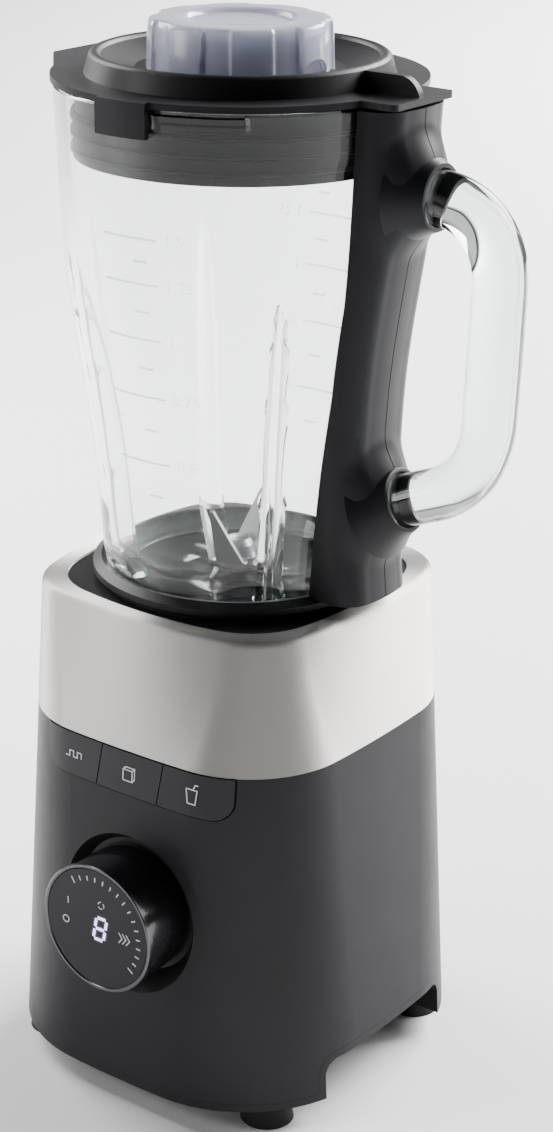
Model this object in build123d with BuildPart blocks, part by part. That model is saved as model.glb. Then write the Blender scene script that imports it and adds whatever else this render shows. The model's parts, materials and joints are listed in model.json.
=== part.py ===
from build123d import *
import os
from math import atan2, cos, degrees, radians, sin, sqrt

# Countertop blender with a glass jug, built as an assembly of separate pieces.
# Millimetres, +Z up. The origin is on the blade axis, in the plane of the counter.
# The controls face -Y, the handle is on the +X side and the pouring lip on -X.

# ---------------------------------------------------------------- driving dimensions

fit_gap = 0.3            # clearance between faces that are put together by hand
running_gap = 0.05       # radial clearance of a shaft in its bearing

# base
foot_height = 9.5        # the base stands this far above the counter
foot_radius = 11.0
foot_x = 57.4
foot_y = 53.6
rim_band = 3.3           # thickness of the bottom cover, seen as a rim
housing_height = 142.0
collar_height = 55.3
base_low_half = 81.7     # half width of the base at the rim
base_low_bulge = 650.0   # radius of its bowed sides there
base_low_corner = 60.0
base_high_half = 71.7    # half width where the collar begins
base_high_bulge = 535.0
base_high_corner = 43.2
collar_top_half = 69.0
collar_top_bulge = 180.0
collar_top_corner = 29.2
seat_half = 60.2         # half width of the black seat inside the collar
seat_bulge = 182.0
seat_corner = 30.5
wall = 2.5               # plastic walls of the base
steel_wall = 1.6
arch_half = 41.0         # air channel under the base, open at both sides
arch_rise = 16.8
arch_corner = 7.0
deck_hole_radius = 26.0
boss_spread = 47.0       # seat posts, from the axis along X and along Y

# motor
shaft_radius = 4.0
rotor_radius = 21.0
air_gap = 0.5
stack_height = 38.0
stack_low = 78.0
stator_half = 33.0
bolt_spread = 26.5
bearing_radius = 11.0
bearing_width = 8.0
commutator_radius = 12.0
commutator_height = 14.0
fan_radius = 28.5
mount_spread = 38.0
rubber_mount_height = 6.8
bracket_thickness = 3.0
bracket_drop = 26.0      # from the iron stack down to the lower bracket
coil_overhang = 6.0

# drive
well_depth = 19.3        # the jug foot drops this far into the seat
seat_drop = 0.8
coupling_radius = 18.0
coupling_height = 16.0
dog_radius = 12.0        # star of the driven coupling, over its teeth
dog_root = 8.5
dog_count = 6
dog_clearance = 0.4
coupling_engage = 8.5

# jug
ring_radius = 58.8       # black ring round the foot of the glass
ring_flange = 2.6
ring_body_radius = 56.3
glass_foot_rise = 20.0   # glass starts this far above the seat floor
glass_height = 198.3
glass_foot_radius = 53.4
glass_low_radius = 57.9
glass_high_radius = 67.0
glass_brim_radius = 70.9
glass_wall = 4.6
rib_depth = 8.0
rib_width = 8.0
rib_height = 130.0
rib_turn = 51.5          # angle of the first of four ribs
spout_reach = 80.5
spout_width = 13.0
spout_drop = 34.0
handle_radius = 10.5
handle_reach = 118.0     # handle centre line, from the jug axis
handle_drop = 32.3       # straight upper leg of the handle, below the brim
handle_rise = 60.8       # lower bend of the handle, above the foot of the glass
handle_bend_high = 27.0
handle_bend_low = 36.0
handle_slope = 21.3      # degrees that the lower root falls towards the jug
spine_half = 20.5
spine_round = 12.0
spine_wall = 2.6

# blade unit
carrier_thickness = 4.0
seal_thickness = 2.0
hub_radius = 12.0
blade_thickness = 1.6
blade_bevel_angle = 70.0

# lid and measuring cap
flange_thickness = 2.5
flange_radius = 71.7
ring_crest_radius = 57.1
ring_foot_radius = 59.1
ring_rise = 8.0
skirt_radius = 62.6
skirt_depth = 27.5
filler_radius = 33.6
dish_floor_radius = 40.0
cap_radius = 35.6
cap_height = 19.0
cap_plug_depth = 13.0
cap_wall = 2.0

# controls
control_x = 3.5          # centre of the controls on the front face
dial_height = 86.9
dial_radius = 27.3
dial_front = 95.7        # distance of the dial's face from the axis
dial_recess_radius = 33.6
dial_recess_floor = 69.5
post_radius = 10.5
button_row_half = 46.4
button_row_height = 18.9
button_gap = 0.5
button_skin = 2.4
button_split = 15.4      # half width of the middle button
button_slant = 2.8       # the splits lean this far to the left at the bottom
button_board_y = -58.0

# ---------------------------------------------------------------- heights

z_rim = foot_height
z_seam = z_rim + rim_band
z_arch = z_rim + arch_rise
z_collar = z_seam + housing_height
z_top = z_collar + collar_height
z_seat = z_top - seat_drop
z_well = z_seat - well_depth
z_glass = z_well + glass_foot_rise
z_brim = z_glass + glass_height
z_flange = z_brim + fit_gap
z_lid_top = z_flange + flange_thickness
z_stack_top = stack_low + stack_height
z_top_bracket = z_stack_top + coil_overhang + 3.0
z_low_bracket = stack_low - bracket_drop
z_motor_post = z_top_bracket + bracket_thickness + rubber_mount_height
z_carrier = z_glass - seal_thickness
handle_high = z_brim - handle_drop
handle_low = z_glass + handle_rise

wide = 200.0             # longer than any cut needs


# ---------------------------------------------------------------- shared shapes

def bulged_square(height, half, bulge, corner):
    """A square sketch whose four sides bow outwards, with rounded corners."""
    reach = half - bulge
    diagonal = (reach + sqrt(2 * bulge**2 - reach**2)) / 2
    ends = [(diagonal, -diagonal), (diagonal, diagonal), (-diagonal, diagonal), (-diagonal, -diagonal)]
    middles = [(half, 0), (0, half), (-half, 0), (0, -half)]
    with BuildSketch(Plane.XY.offset(height)) as outline:
        with BuildLine():
            for side in range(4):
                ThreePointArc(ends[side], middles[side], ends[(side + 1) % 4])
        make_face()
        fillet(outline.vertices(), corner)
    return outline.sketch


def between(low, high, share):
    return low + (high - low) * share


def base_half(height):
    """Half width of the base, which narrows evenly from the rim to the collar."""
    return between(base_low_half, base_high_half, (height - z_seam) / housing_height)


def base_section(height, inset=0.0):
    share = (height - z_seam) / housing_height
    return bulged_square(
        height,
        base_half(height) - inset,
        between(base_low_bulge, base_high_bulge, share) - inset,
        between(base_low_corner, base_high_corner, share) - inset,
    )


def collar_section(height, inset=0.0):
    share = (height - z_collar) / collar_height
    return bulged_square(
        height,
        between(base_high_half, collar_top_half, share) - inset,
        between(base_high_bulge, collar_top_bulge, share) - inset,
        between(base_high_corner, collar_top_corner, share) - inset,
    )


def seat_section(height, inset=0.0):
    return bulged_square(height, seat_half - inset, seat_bulge - inset, seat_corner - inset)


def air_arch(grow=0.0):
    """Profile of the air channel across the base, in its own plane: width, then height."""
    half = arch_half + grow
    top = z_arch + grow
    with BuildSketch() as opening:
        with BuildLine():
            Polyline((-half, 0), (-half, top), (half, top), (half, 0), close=True)
        make_face()
        fillet(opening.vertices().group_by(Axis.Y)[-1], arch_corner + grow)
    return opening.sketch


def four_corners(x, y):
    return [(x, y), (-x, y), (x, -y), (-x, -y)]


def glass_radius_points(gap=0.0):
    """Outline points of the glass, radius and height, from the foot to the brim."""
    return [
        (glass_foot_radius + gap, z_glass),
        (glass_low_radius + gap, z_glass + 0.28 * glass_height),
        (glass_high_radius + gap, z_glass + 0.63 * glass_height),
        (glass_brim_radius + gap, z_brim),
    ]


def glass_body(gap=0.0):
    """Solid of revolution inside the outer (gap above 0) or inner (gap below 0) glass wall."""
    points = glass_radius_points(gap)
    with BuildPart() as body:
        with BuildSketch(Plane.XZ):
            with BuildLine():
                Spline(points)
                Polyline(points[-1], (0, z_brim), (0, z_glass), points[0])
            make_face()
        revolve(axis=Axis.Z)
    return body.part


def handle_path():
    """Centre line of the handle in the XZ plane, ending inside the glass wall at both roots."""
    slope = radians(handle_slope)
    low_x = handle_reach - 3.0
    root_high = glass_brim_radius - 4.0
    root_low = glass_low_radius - 2.0
    run = low_x - root_low
    return [
        (root_high, handle_high),
        (handle_reach + 1.5, handle_high),
        (low_x, handle_low),
        (root_low, handle_low - run * sin(slope) / cos(slope)),
    ]


def handle_tube(radius):
    points = handle_path()
    with BuildPart() as tube:
        with BuildLine(Plane.XZ) as route:
            FilletPolyline(*points, radius=[handle_bend_high, handle_bend_low])
        with BuildSketch(Plane(route.line @ 0, z_dir=route.line % 0)):
            Circle(radius)
        sweep()
    return tube.part


def ring_part(inner, outer, low, high):
    """A plain ring about the Z axis."""
    with BuildPart() as ring:
        with BuildSketch(Plane.XY.offset(low)):
            Circle(outer)
            Circle(inner, mode=Mode.SUBTRACT)
        extrude(amount=high - low)
    return ring.part


dial_plane = Plane(origin=(control_x, 0, dial_height), x_dir=(1, 0, 0), z_dir=(0, -1, 0))


# ---------------------------------------------------------------- base housing

with BuildPart() as base_block:
    loft(sections=[base_section(z_rim), base_section(z_collar)], ruled=True)

button_low = z_collar - button_row_height
shelf_thickness = 2.5
dial_boss_radius = dial_recess_radius + 3.5
dial_boss_back = 66.0
board_y = 60.0
board_posts = [(-28.0, 75.0), (28.0, 75.0), (-28.0, 125.0), (28.0, 125.0)]
gland_height = 44.0
gland_radius = 8.0

with BuildPart() as base_housing:
    loft(sections=[base_section(z_rim), base_section(z_collar)], ruled=True)
    loft(sections=[base_section(z_rim, wall), base_section(z_collar - wall, wall)], ruled=True, mode=Mode.SUBTRACT)
    # opening in the deck for the drive, and the corner posts that the bottom cover screws into
    with Locations((0, 0, z_collar)):
        Cylinder(deck_hole_radius, 4 * wall, mode=Mode.SUBTRACT)
    with BuildSketch(Plane.XY.offset(z_seam)):
        with Locations(*four_corners(foot_x, foot_y)):
            Circle(6.0)
        for x, y in four_corners(foot_x, foot_y):
            with Locations(Location((x, y, 0), (0, 0, degrees(atan2(y, x))))):
                with Locations((12.0, 0)):
                    Rectangle(20.0, 3.0)
    extrude(amount=30.0)
    # posts under the deck that carry the motor
    with BuildSketch(Plane.XY.offset(z_collar - wall)):
        with Locations(*four_corners(mount_spread, mount_spread)):
            Circle(6.0)
    extrude(amount=z_motor_post - z_collar + wall)
    # shelf under the buttons and boss behind the dial
    with BuildSketch(Plane.XY.offset(button_low - 1.5 - shelf_thickness)):
        with Locations((control_x, button_board_y - 10.0)):
            Rectangle(2 * button_row_half + 6.0, 27.0)
    extrude(amount=shelf_thickness)
    with BuildSketch(dial_plane.offset(dial_boss_back)):
        Circle(dial_boss_radius)
    extrude(amount=20.0)
    # posts for the control board on the rear wall
    with BuildSketch(Plane.XZ.offset(-board_y - 1.6)):
        with Locations(*board_posts):
            Circle(3.5)
    extrude(amount=-25.0)
    add(base_block.part, mode=Mode.INTERSECT)
    # the lower edge follows the rim of the bottom cover
    with BuildSketch(Plane.YZ):
        with Locations((0, z_rim)):
            Rectangle(2 * wide, 2 * rim_band + 0.2)
        add(air_arch(rim_band + 0.1))
    extrude(amount=wide, both=True, mode=Mode.SUBTRACT)
    # dished recess round the dial and the hole for its neck
    with BuildSketch(dial_plane.offset(dial_recess_floor)) as recess_floor:
        Circle(dial_radius + 1.2)
    with BuildSketch(dial_plane.offset(base_half(dial_height) + 4.0)) as recess_mouth:
        Circle(dial_recess_radius + 3.0)
    loft(sections=[recess_floor.sketch, recess_mouth.sketch], mode=Mode.SUBTRACT)
    with BuildSketch(dial_plane.offset(dial_boss_back - 5.0)):
        Circle(post_radius + 4.0)
    extrude(amount=20.0, mode=Mode.SUBTRACT)
    # slot for the row of buttons, with round lower corners
    with BuildSketch(Plane.XZ.offset(-button_board_y + 1.0)) as row_slot:
        with Locations((control_x, z_collar)):
            Rectangle(2 * button_row_half, 2 * button_row_height)
        fillet(row_slot.vertices().group_by(Axis.Y)[0], 9.0)
    extrude(amount=40.0, mode=Mode.SUBTRACT)
    # hole for the cord gland
    with BuildSketch(Plane.XZ.offset(-base_half(gland_height) - 5.0)):
        with Locations((0, gland_height)):
            Circle(gland_radius)
    extrude(amount=20.0, mode=Mode.SUBTRACT)
    # lip that centres the collar
    lip_high = z_collar + 4.0
    collar_lip = [collar_section(height, steel_wall + fit_gap) for height in (z_collar, lip_high)]
    lip_inside = [collar_section(height, steel_wall + wall) for height in (z_collar, lip_high)]
    with BuildPart(mode=Mode.PRIVATE) as lip:
        loft(sections=collar_lip, ruled=True)
        loft(sections=lip_inside, ruled=True, mode=Mode.SUBTRACT)
        with Locations((control_x, -wide / 2 - 56.0, z_collar)):
            Box(2 * button_row_half + 4.0, wide, 20.0, mode=Mode.SUBTRACT)
    add(lip.part)
    # holes for the seat screws and the motor screws
    with BuildSketch(Plane.XY.offset(z_collar + 1.0)):
        with Locations(*four_corners(boss_spread, boss_spread)):
            Circle(2.2)
    extrude(amount=-10.0, mode=Mode.SUBTRACT)

with BuildPart() as bottom_cover:
    loft(sections=[base_section(z_rim), base_section(z_arch + 2 * rim_band)], ruled=True)
    with BuildSketch(Plane.YZ):
        with Locations((0, z_rim)):
            Rectangle(2 * wide, 2 * rim_band)
        add(air_arch(rim_band))
    extrude(amount=wide, both=True, mode=Mode.INTERSECT)
    with BuildSketch(Plane.YZ):
        add(air_arch())
    extrude(amount=wide, both=True, mode=Mode.SUBTRACT)
    # air inlet in the roof of the channel
    with BuildSketch(Plane.XY.offset(z_arch - 1.0)):
        with PolarLocations(15.0, 12):
            SlotOverall(16.0, 3.0)
    extrude(amount=2 * rim_band, mode=Mode.SUBTRACT)
    # holes for the screws, under the feet
    with BuildSketch(Plane.XY.offset(z_rim)):
        with Locations(*four_corners(foot_x, foot_y)):
            Circle(2.3)
    extrude(amount=rim_band, mode=Mode.SUBTRACT)

with BuildPart() as one_foot:
    with BuildSketch(Plane.XZ):
        with BuildLine():
            Polyline(
                (2.6, z_rim), (2.6, 3.5), (foot_radius - 3.0, 1.0), (foot_radius - 1.6, 0), (foot_radius, 0),
                (foot_radius - 0.6, 3.0), (foot_radius - 2.5, z_rim), close=True,
            )
        make_face()
    revolve(axis=Axis.Z)

with BuildPart() as suction_feet:
    with Locations(*four_corners(foot_x, foot_y)):
        add(one_foot.part)

with BuildPart() as cover_screws:
    with BuildSketch(Plane.XY.offset(z_rim - 2.5)):
        with Locations(*four_corners(foot_x, foot_y)):
            Circle(2.5)
    extrude(amount=2.5)
    with BuildSketch(Plane.XY.offset(z_rim)):
        with Locations(*four_corners(foot_x, foot_y)):
            Circle(2.2)
    extrude(amount=rim_band + 0.1)

# ---------------------------------------------------------------- collar and seat

with BuildPart() as steel_collar:
    loft(sections=[collar_section(z_collar), collar_section(z_top)], ruled=True)
    top_edges = steel_collar.faces().sort_by(Axis.Z)[-1].edges()
    fillet(top_edges, 2.6)
    loft(
        sections=[collar_section(z_collar, steel_wall), collar_section(z_top - steel_wall, steel_wall)],
        ruled=True,
        mode=Mode.SUBTRACT,
    )
    extrude(seat_section(z_top - 5.0, -fit_gap), amount=10.0, mode=Mode.SUBTRACT)

well_radius = ring_body_radius + 0.6
well_wall = 2.2
key_width = 7.0
key_radius = (ring_body_radius + 52.0) / 2
pin_angle = 30.0
pin_radius = 2.5
pin_ring = 48.7
pin_x = pin_ring * cos(radians(pin_angle))
pin_y = pin_ring * sin(radians(pin_angle))
key_angles = [45.0, 135.0, 225.0, 315.0]

with BuildPart() as seat_plate:
    extrude(seat_section(z_seat - wall), amount=wall)
    with BuildSketch(Plane.XY.offset(z_well - wall)):
        Circle(well_radius + well_wall)
    extrude(amount=z_seat - z_well + wall)
    # posts that stand on the deck of the housing
    with BuildSketch(Plane.XY.offset(z_collar)):
        with Locations(*four_corners(boss_spread, boss_spread)):
            Circle(5.0)
    extrude(amount=z_seat - wall - z_collar)
    with BuildSketch(Plane.XY.offset(z_well)):
        Circle(well_radius)
    extrude(amount=wide, mode=Mode.SUBTRACT)
    # keys that stop the jug turning
    with BuildSketch(Plane.XY.offset(z_well)):
        for angle in key_angles:
            with Locations(Location((0, 0, 0), (0, 0, angle))):
                with Locations((key_radius, 0)):
                    Rectangle(ring_body_radius - 52.5, key_width)
    extrude(amount=8.0)
    # hole for the drive coupling, hole for the pin, screw pilot holes
    with BuildSketch(Plane.XY.offset(z_well - wall)):
        Circle(coupling_radius + 2.5)
    extrude(amount=2 * wall, mode=Mode.SUBTRACT)
    with BuildSketch(Plane.XY.offset(z_well - wall)):
        with Locations((pin_x, pin_y)):
            Circle(pin_radius + 0.1)
    extrude(amount=2 * wall, mode=Mode.SUBTRACT)
    with BuildSketch(Plane.XY.offset(z_collar)):
        with Locations(*four_corners(boss_spread, boss_spread)):
            Circle(1.8)
    extrude(amount=12.0, mode=Mode.SUBTRACT)

with BuildPart() as seat_seal:
    add(ring_part(coupling_radius + 0.4, coupling_radius + 2.5, z_well - wall, z_well))
    add(ring_part(coupling_radius + 0.4, coupling_radius + 3.5, z_well, z_well + 1.2))

with BuildPart() as seat_screws:
    with BuildSketch(Plane.XY.offset(z_collar - wall)):
        with Locations(*four_corners(boss_spread, boss_spread)):
            Circle(1.8)
    extrude(amount=wall + 10.0)
    with BuildSketch(Plane.XY.offset(z_collar - wall)):
        with Locations(*four_corners(boss_spread, boss_spread)):
            Circle(3.6)
    extrude(amount=-2.2)

with BuildPart() as interlock_switch:
    with BuildSketch(Plane.XY.offset(z_well - wall)):
        with Locations((pin_x, pin_y)):
            Rectangle(12.0, 9.0)
    extrude(amount=-12.0)
    with BuildSketch(Plane.XY.offset(z_well - wall)):
        with Locations((pin_x, pin_y)):
            Circle(pin_radius + 0.1)
    extrude(amount=-9.0, mode=Mode.SUBTRACT)

ring_lip_low = z_carrier - carrier_thickness - 3.5

with BuildPart() as interlock_pin:
    with BuildSketch(Plane.XY.offset(z_well - wall - 6.0)):
        with Locations((pin_x, pin_y)):
            Circle(pin_radius)
    extrude(amount=ring_lip_low - fit_gap - (z_well - wall - 6.0))
    fillet(interlock_pin.edges().sort_by(Axis.Z)[-1], 1.0)

# ---------------------------------------------------------------- motor

pole_half = 14.0
coil_build = 7.0
coil_inner = rotor_radius + air_gap + 1.5
coil_outer = coil_inner + 6.0
stack_corner = 12.0


def bearing_seat(low, high):
    return ring_part(bearing_radius, bearing_radius + 2.5, low, high)


with BuildPart() as stator_core:
    with BuildSketch(Plane.XY.offset(stack_low)):
        RectangleRounded(2 * stator_half, 2 * stator_half, stack_corner)
        Circle(rotor_radius + air_gap, mode=Mode.SUBTRACT)
        with Locations(*four_corners((coil_inner + coil_outer) / 2, pole_half + coil_build / 2)):
            Rectangle(coil_outer - coil_inner + 0.4, coil_build + 0.4, mode=Mode.SUBTRACT)
        with Locations(*four_corners(bolt_spread, bolt_spread)):
            Circle(2.1, mode=Mode.SUBTRACT)
    extrude(amount=stack_height)

with BuildPart() as field_coils:
    for side in (-1, 1):
        with BuildSketch(Plane.YZ.offset(side * (coil_inner + coil_outer) / 2)):
            with Locations((0, stack_low + stack_height / 2)):
                RectangleRounded(2 * (pole_half + coil_build), stack_height + 2 * coil_overhang, 4.0)
                Rectangle(2 * pole_half + 0.2, stack_height, mode=Mode.SUBTRACT)
        extrude(amount=(coil_outer - coil_inner) / 2, both=True)

with BuildPart() as rotor_core:
    with BuildSketch(Plane.XY.offset(stack_low)):
        Circle(rotor_radius)
        Circle(shaft_radius, mode=Mode.SUBTRACT)
        with PolarLocations(rotor_radius - 3.0, 12):
            Rectangle(7.0, 2.6, mode=Mode.SUBTRACT)
    extrude(amount=stack_height)

with BuildPart() as rotor_windings:
    with BuildSketch(Plane.XY.offset(stack_low)):
        with PolarLocations(rotor_radius - 3.2, 12):
            Rectangle(5.6, 2.2)
    extrude(amount=stack_height)
    add(ring_part(shaft_radius + 2.0, rotor_radius - 3.0, z_stack_top, z_stack_top + 4.5))
    add(ring_part(shaft_radius + 2.0, rotor_radius - 3.0, stack_low - 4.5, stack_low))

z_commutator = z_low_bracket + bracket_thickness + 2.5

with BuildPart() as commutator:
    with BuildSketch(Plane.XY.offset(z_commutator)):
        Circle(commutator_radius)
        Circle(shaft_radius, mode=Mode.SUBTRACT)
        with PolarLocations(commutator_radius, 24):
            Rectangle(1.6, 0.5, mode=Mode.SUBTRACT)
    extrude(amount=commutator_height)

fan_low = z_arch + rim_band + 4.0
fan_height = 11.0

with BuildPart() as cooling_fan:
    add(ring_part(shaft_radius, 8.0, fan_low, fan_low + fan_height))
    add(ring_part(7.0, fan_radius, fan_low + fan_height - 2.0, fan_low + fan_height))
    with BuildSketch(Plane.XY.offset(fan_low)):
        with PolarLocations((fan_radius + 7.0) / 2, 12):
            Rectangle(fan_radius - 7.0, 1.4)
    extrude(amount=fan_height)

coupling_low = z_well + 4.0 - coupling_height

with BuildPart() as motor_shaft:
    with BuildSketch(Plane.XY.offset(fan_low - 1.5)):
        Circle(shaft_radius)
    extrude(amount=coupling_low + 6.0 - (fan_low - 1.5))
    chamfer(motor_shaft.edges().filter_by(GeomType.CIRCLE), 0.6)


def dog_star(height, spread):
    """Star outline of the coupling teeth, grown evenly by spread."""
    with BuildSketch(Plane.XY.offset(height)) as star:
        Circle(dog_root + spread)
        with PolarLocations((dog_root + dog_radius) / 2 + spread / 2, dog_count):
            Rectangle(dog_radius - dog_root + spread + 2.0, 4.0 + 2 * spread)
    return star.sketch


with BuildPart() as drive_coupling:
    with BuildSketch(Plane.XY.offset(coupling_low)):
        Circle(coupling_radius)
    extrude(amount=coupling_height)
    fillet(drive_coupling.edges().filter_by(GeomType.CIRCLE), 0.8)
    extrude(dog_star(coupling_low + coupling_height - 10.0, dog_clearance), amount=20.0, mode=Mode.SUBTRACT)
    with BuildSketch(Plane.XY.offset(coupling_low)):
        Circle(shaft_radius)
    extrude(amount=6.0, mode=Mode.SUBTRACT)

with BuildPart() as motor_top_bracket:
    with BuildSketch(Plane.XY.offset(z_top_bracket)):
        RectangleRounded(2 * stator_half, 2 * stator_half, stack_corner)
        for angle in (45, 135, 225, 315):
            with Locations(Location((0, 0, 0), (0, 0, angle))):
                with Locations((mount_spread * sqrt(2) / 2, 0)):
                    SlotOverall(mount_spread * sqrt(2) + 14.0, 14.0)
        Circle(bearing_radius, mode=Mode.SUBTRACT)
        with PolarLocations(22.0, 4):
            SlotOverall(18.0, 9.0, rotation=90, mode=Mode.SUBTRACT)
        with Locations(*four_corners(bolt_spread, bolt_spread)):
            Circle(2.1, mode=Mode.SUBTRACT)
        with Locations(*four_corners(mount_spread, mount_spread)):
            Circle(2.1, mode=Mode.SUBTRACT)
    extrude(amount=bracket_thickness)
    add(bearing_seat(z_top_bracket, z_top_bracket + bearing_width))
    with BuildSketch(Plane.XY.offset(z_stack_top)):
        with Locations(*four_corners(bolt_spread, bolt_spread)):
            Circle(4.5)
            Circle(2.1, mode=Mode.SUBTRACT)
    extrude(amount=z_top_bracket - z_stack_top)

with BuildPart() as motor_bottom_bracket:
    with BuildSketch(Plane.XY.offset(z_low_bracket)):
        RectangleRounded(2 * stator_half, 2 * stator_half, stack_corner)
        Circle(bearing_radius, mode=Mode.SUBTRACT)
        with Locations((22.5, 0), (-22.5, 0)):
            SlotOverall(24.0, 9.0, rotation=90, mode=Mode.SUBTRACT)
        with Locations(*four_corners(bolt_spread, bolt_spread)):
            Circle(2.1, mode=Mode.SUBTRACT)
    extrude(amount=bracket_thickness)
    add(bearing_seat(z_low_bracket + bracket_thickness - bearing_width, z_low_bracket + bracket_thickness))
    with BuildSketch(Plane.XY.offset(z_low_bracket + bracket_thickness)):
        with Locations(*four_corners(bolt_spread, bolt_spread)):
            Circle(4.5)
            Circle(2.1, mode=Mode.SUBTRACT)
    extrude(amount=stack_low - z_low_bracket - bracket_thickness)

with BuildPart() as shaft_bearings:
    bearing_lows = (z_top_bracket, z_low_bracket + bracket_thickness - bearing_width)
    for low in bearing_lows:
        add(ring_part(shaft_radius + running_gap, bearing_radius, low, low + bearing_width))

bolt_low = z_low_bracket - 2.5
with BuildPart() as motor_bolts:
    with BuildSketch(Plane.XY.offset(bolt_low)):
        with Locations(*four_corners(bolt_spread, bolt_spread)):
            Circle(2.0)
    extrude(amount=z_top_bracket + bracket_thickness + 3.0 - bolt_low)
    with BuildSketch(Plane.XY.offset(bolt_low)):
        with Locations(*four_corners(bolt_spread, bolt_spread)):
            RegularPolygon(3.8, 6)
    extrude(amount=2.5)

with BuildPart() as rubber_mounts:
    with BuildSketch(Plane.XY.offset(z_top_bracket + bracket_thickness)):
        with Locations(*four_corners(mount_spread, mount_spread)):
            Circle(6.5)
            Circle(2.1, mode=Mode.SUBTRACT)
    extrude(amount=z_motor_post - z_top_bracket - bracket_thickness)

with BuildPart() as mount_screws:
    with BuildSketch(Plane.XY.offset(z_top_bracket - 2.2)):
        with Locations(*four_corners(mount_spread, mount_spread)):
            Circle(2.0)
    extrude(amount=z_motor_post - z_top_bracket + 2.2)
    with BuildSketch(Plane.XY.offset(z_top_bracket - 2.2)):
        with Locations(*four_corners(mount_spread, mount_spread)):
            Circle(4.0)
    extrude(amount=2.2)

brush_middle = z_commutator + commutator_height / 2
brush_inner = commutator_radius + 0.1
with BuildPart() as brush_holders:
    for side in (-1, 1):
        with Locations((0, side * 23.5, brush_middle)):
            Box(11.0, 18.0, 9.0)
            Box(6.2, 18.0, 5.2, mode=Mode.SUBTRACT)
        with Locations((0, side * 28.0, (z_low_bracket + bracket_thickness + brush_middle - 4.5) / 2)):
            Box(11.0, 6.0, brush_middle - 4.5 - z_low_bracket - bracket_thickness)

with BuildPart() as carbon_brushes:
    for side in (-1, 1):
        with Locations((0, side * (brush_inner + 8.0), brush_middle)):
            Box(6.2, 16.0, 5.2)

with BuildPart() as fan_duct:
    add(ring_part(fan_radius + 1.5, fan_radius + 3.5, z_arch + rim_band, fan_low + fan_height + 2.0))

# ---------------------------------------------------------------- electrics

with BuildPart() as control_board:
    with BuildSketch(Plane.XZ.offset(-board_y)):
        with Locations((0, 100.0)):
            Rectangle(76.0, 62.0)
    extrude(amount=-1.6)

with BuildPart() as board_components:
    with Locations((-22.0, board_y - 8.0, 84.0), (2.0, board_y - 8.0, 84.0)):
        Box(18.0, 16.0, 20.0)
    with Locations((24.0, board_y - 5.0, 86.0)):
        Box(12.0, 10.0, 24.0)
    with BuildSketch(Plane.XZ.offset(-board_y)):
        with Locations((-24.0, 115.0), (-8.0, 115.0)):
            Circle(6.0)
    extrude(amount=15.0)
    with Locations((16.0, board_y - 3.0, 114.0)):
        Box(20.0, 6.0, 14.0)

with BuildPart() as cord_gland:
    gland_out = base_half(gland_height - gland_radius - 3.0)
    with BuildSketch(Plane.XZ.offset(-gland_out - 3.0)):
        with Locations((0, gland_height)):
            Circle(gland_radius + 3.0)
    extrude(amount=2.6)
    with BuildSketch(Plane.XZ.offset(-gland_out - 3.0)):
        with Locations((0, gland_height)):
            Circle(gland_radius - 0.1)
    extrude(amount=12.0)
    with BuildSketch(Plane.XZ.offset(-gland_out - 4.0)):
        with Locations((0, gland_height)):
            Circle(3.6)
    extrude(amount=20.0, mode=Mode.SUBTRACT)

with BuildPart() as button_board:
    with BuildSketch(Plane.XZ.offset(-button_board_y - 4.0)):
        with Locations((control_x, button_low - 1.5 + 8.5)):
            Rectangle(2 * button_row_half - 4.0, 17.0)
    extrude(amount=-1.6)

switch_front = button_board_y + 4.0
button_centres = [-(button_row_half + button_split) / 2 - 1.4, -1.4, (button_row_half + button_split) / 2 - 1.4]
switch_height = button_low + button_row_height / 2 - 1.0
with BuildPart() as tact_switches:
    for centre in button_centres:
        with Locations((control_x + centre, switch_front - 1.75, switch_height)):
            Box(6.0, 3.5, 6.0)

# ---------------------------------------------------------------- buttons


def row_outline(gap):
    """Outline of the whole button row on the front, with round lower corners."""
    half = button_row_half - gap
    with BuildSketch(Plane.XZ.offset(-button_board_y)) as row:
        with Locations((control_x, z_collar - gap)):
            Rectangle(2 * half, 2 * (button_row_height - 2 * gap))
        fillet(row.vertices().group_by(Axis.Y)[0], 9.0 - gap)
        with Locations((control_x, z_collar + wide / 2 - gap)):
            Rectangle(wide, wide, mode=Mode.SUBTRACT)
    return row.sketch


def split_x(number, height):
    """X of the slanted line left of button number, at a height; the outer lines lie past the row."""
    line = [-80.0, -button_split, button_split, 80.0][number]
    return control_x + line - button_slant * (z_collar - height) / button_row_height


def one_button(number):
    high = z_collar + 5.0
    low = button_low - 5.0
    half_gap = button_gap / 2
    with BuildPart() as cap:
        extrude(row_outline(button_gap), amount=40.0)
        with BuildSketch(Plane.XZ):
            with BuildLine():
                Polyline(
                    (split_x(number, high) + half_gap, high),
                    (split_x(number + 1, high) - half_gap, high),
                    (split_x(number + 1, low) - half_gap, low),
                    (split_x(number, low) + half_gap, low),
                    close=True,
                )
            make_face()
        extrude(amount=wide, mode=Mode.INTERSECT)
        with BuildPart(mode=Mode.PRIVATE) as skin:
            loft(sections=[base_section(z_rim, -0.4), base_section(z_collar, -0.4)], ruled=True)
            loft(
                sections=[base_section(z_rim, button_skin), base_section(z_collar, button_skin)],
                ruled=True,
                mode=Mode.SUBTRACT,
            )
        add(skin.part, mode=Mode.INTERSECT)
        # plunger that reaches back to the switch
        with BuildSketch(Plane.XZ.offset(-switch_front + 3.5 + 1.3)):
            with Locations((control_x + button_centres[number], switch_height)):
                Circle(3.0)
        extrude(until=Until.NEXT)
    return cap.part


pulse_button = one_button(0)
ice_button = one_button(1)
blend_button = one_button(2)

# ---------------------------------------------------------------- dial

lens_radius = dial_radius - 1.8

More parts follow.
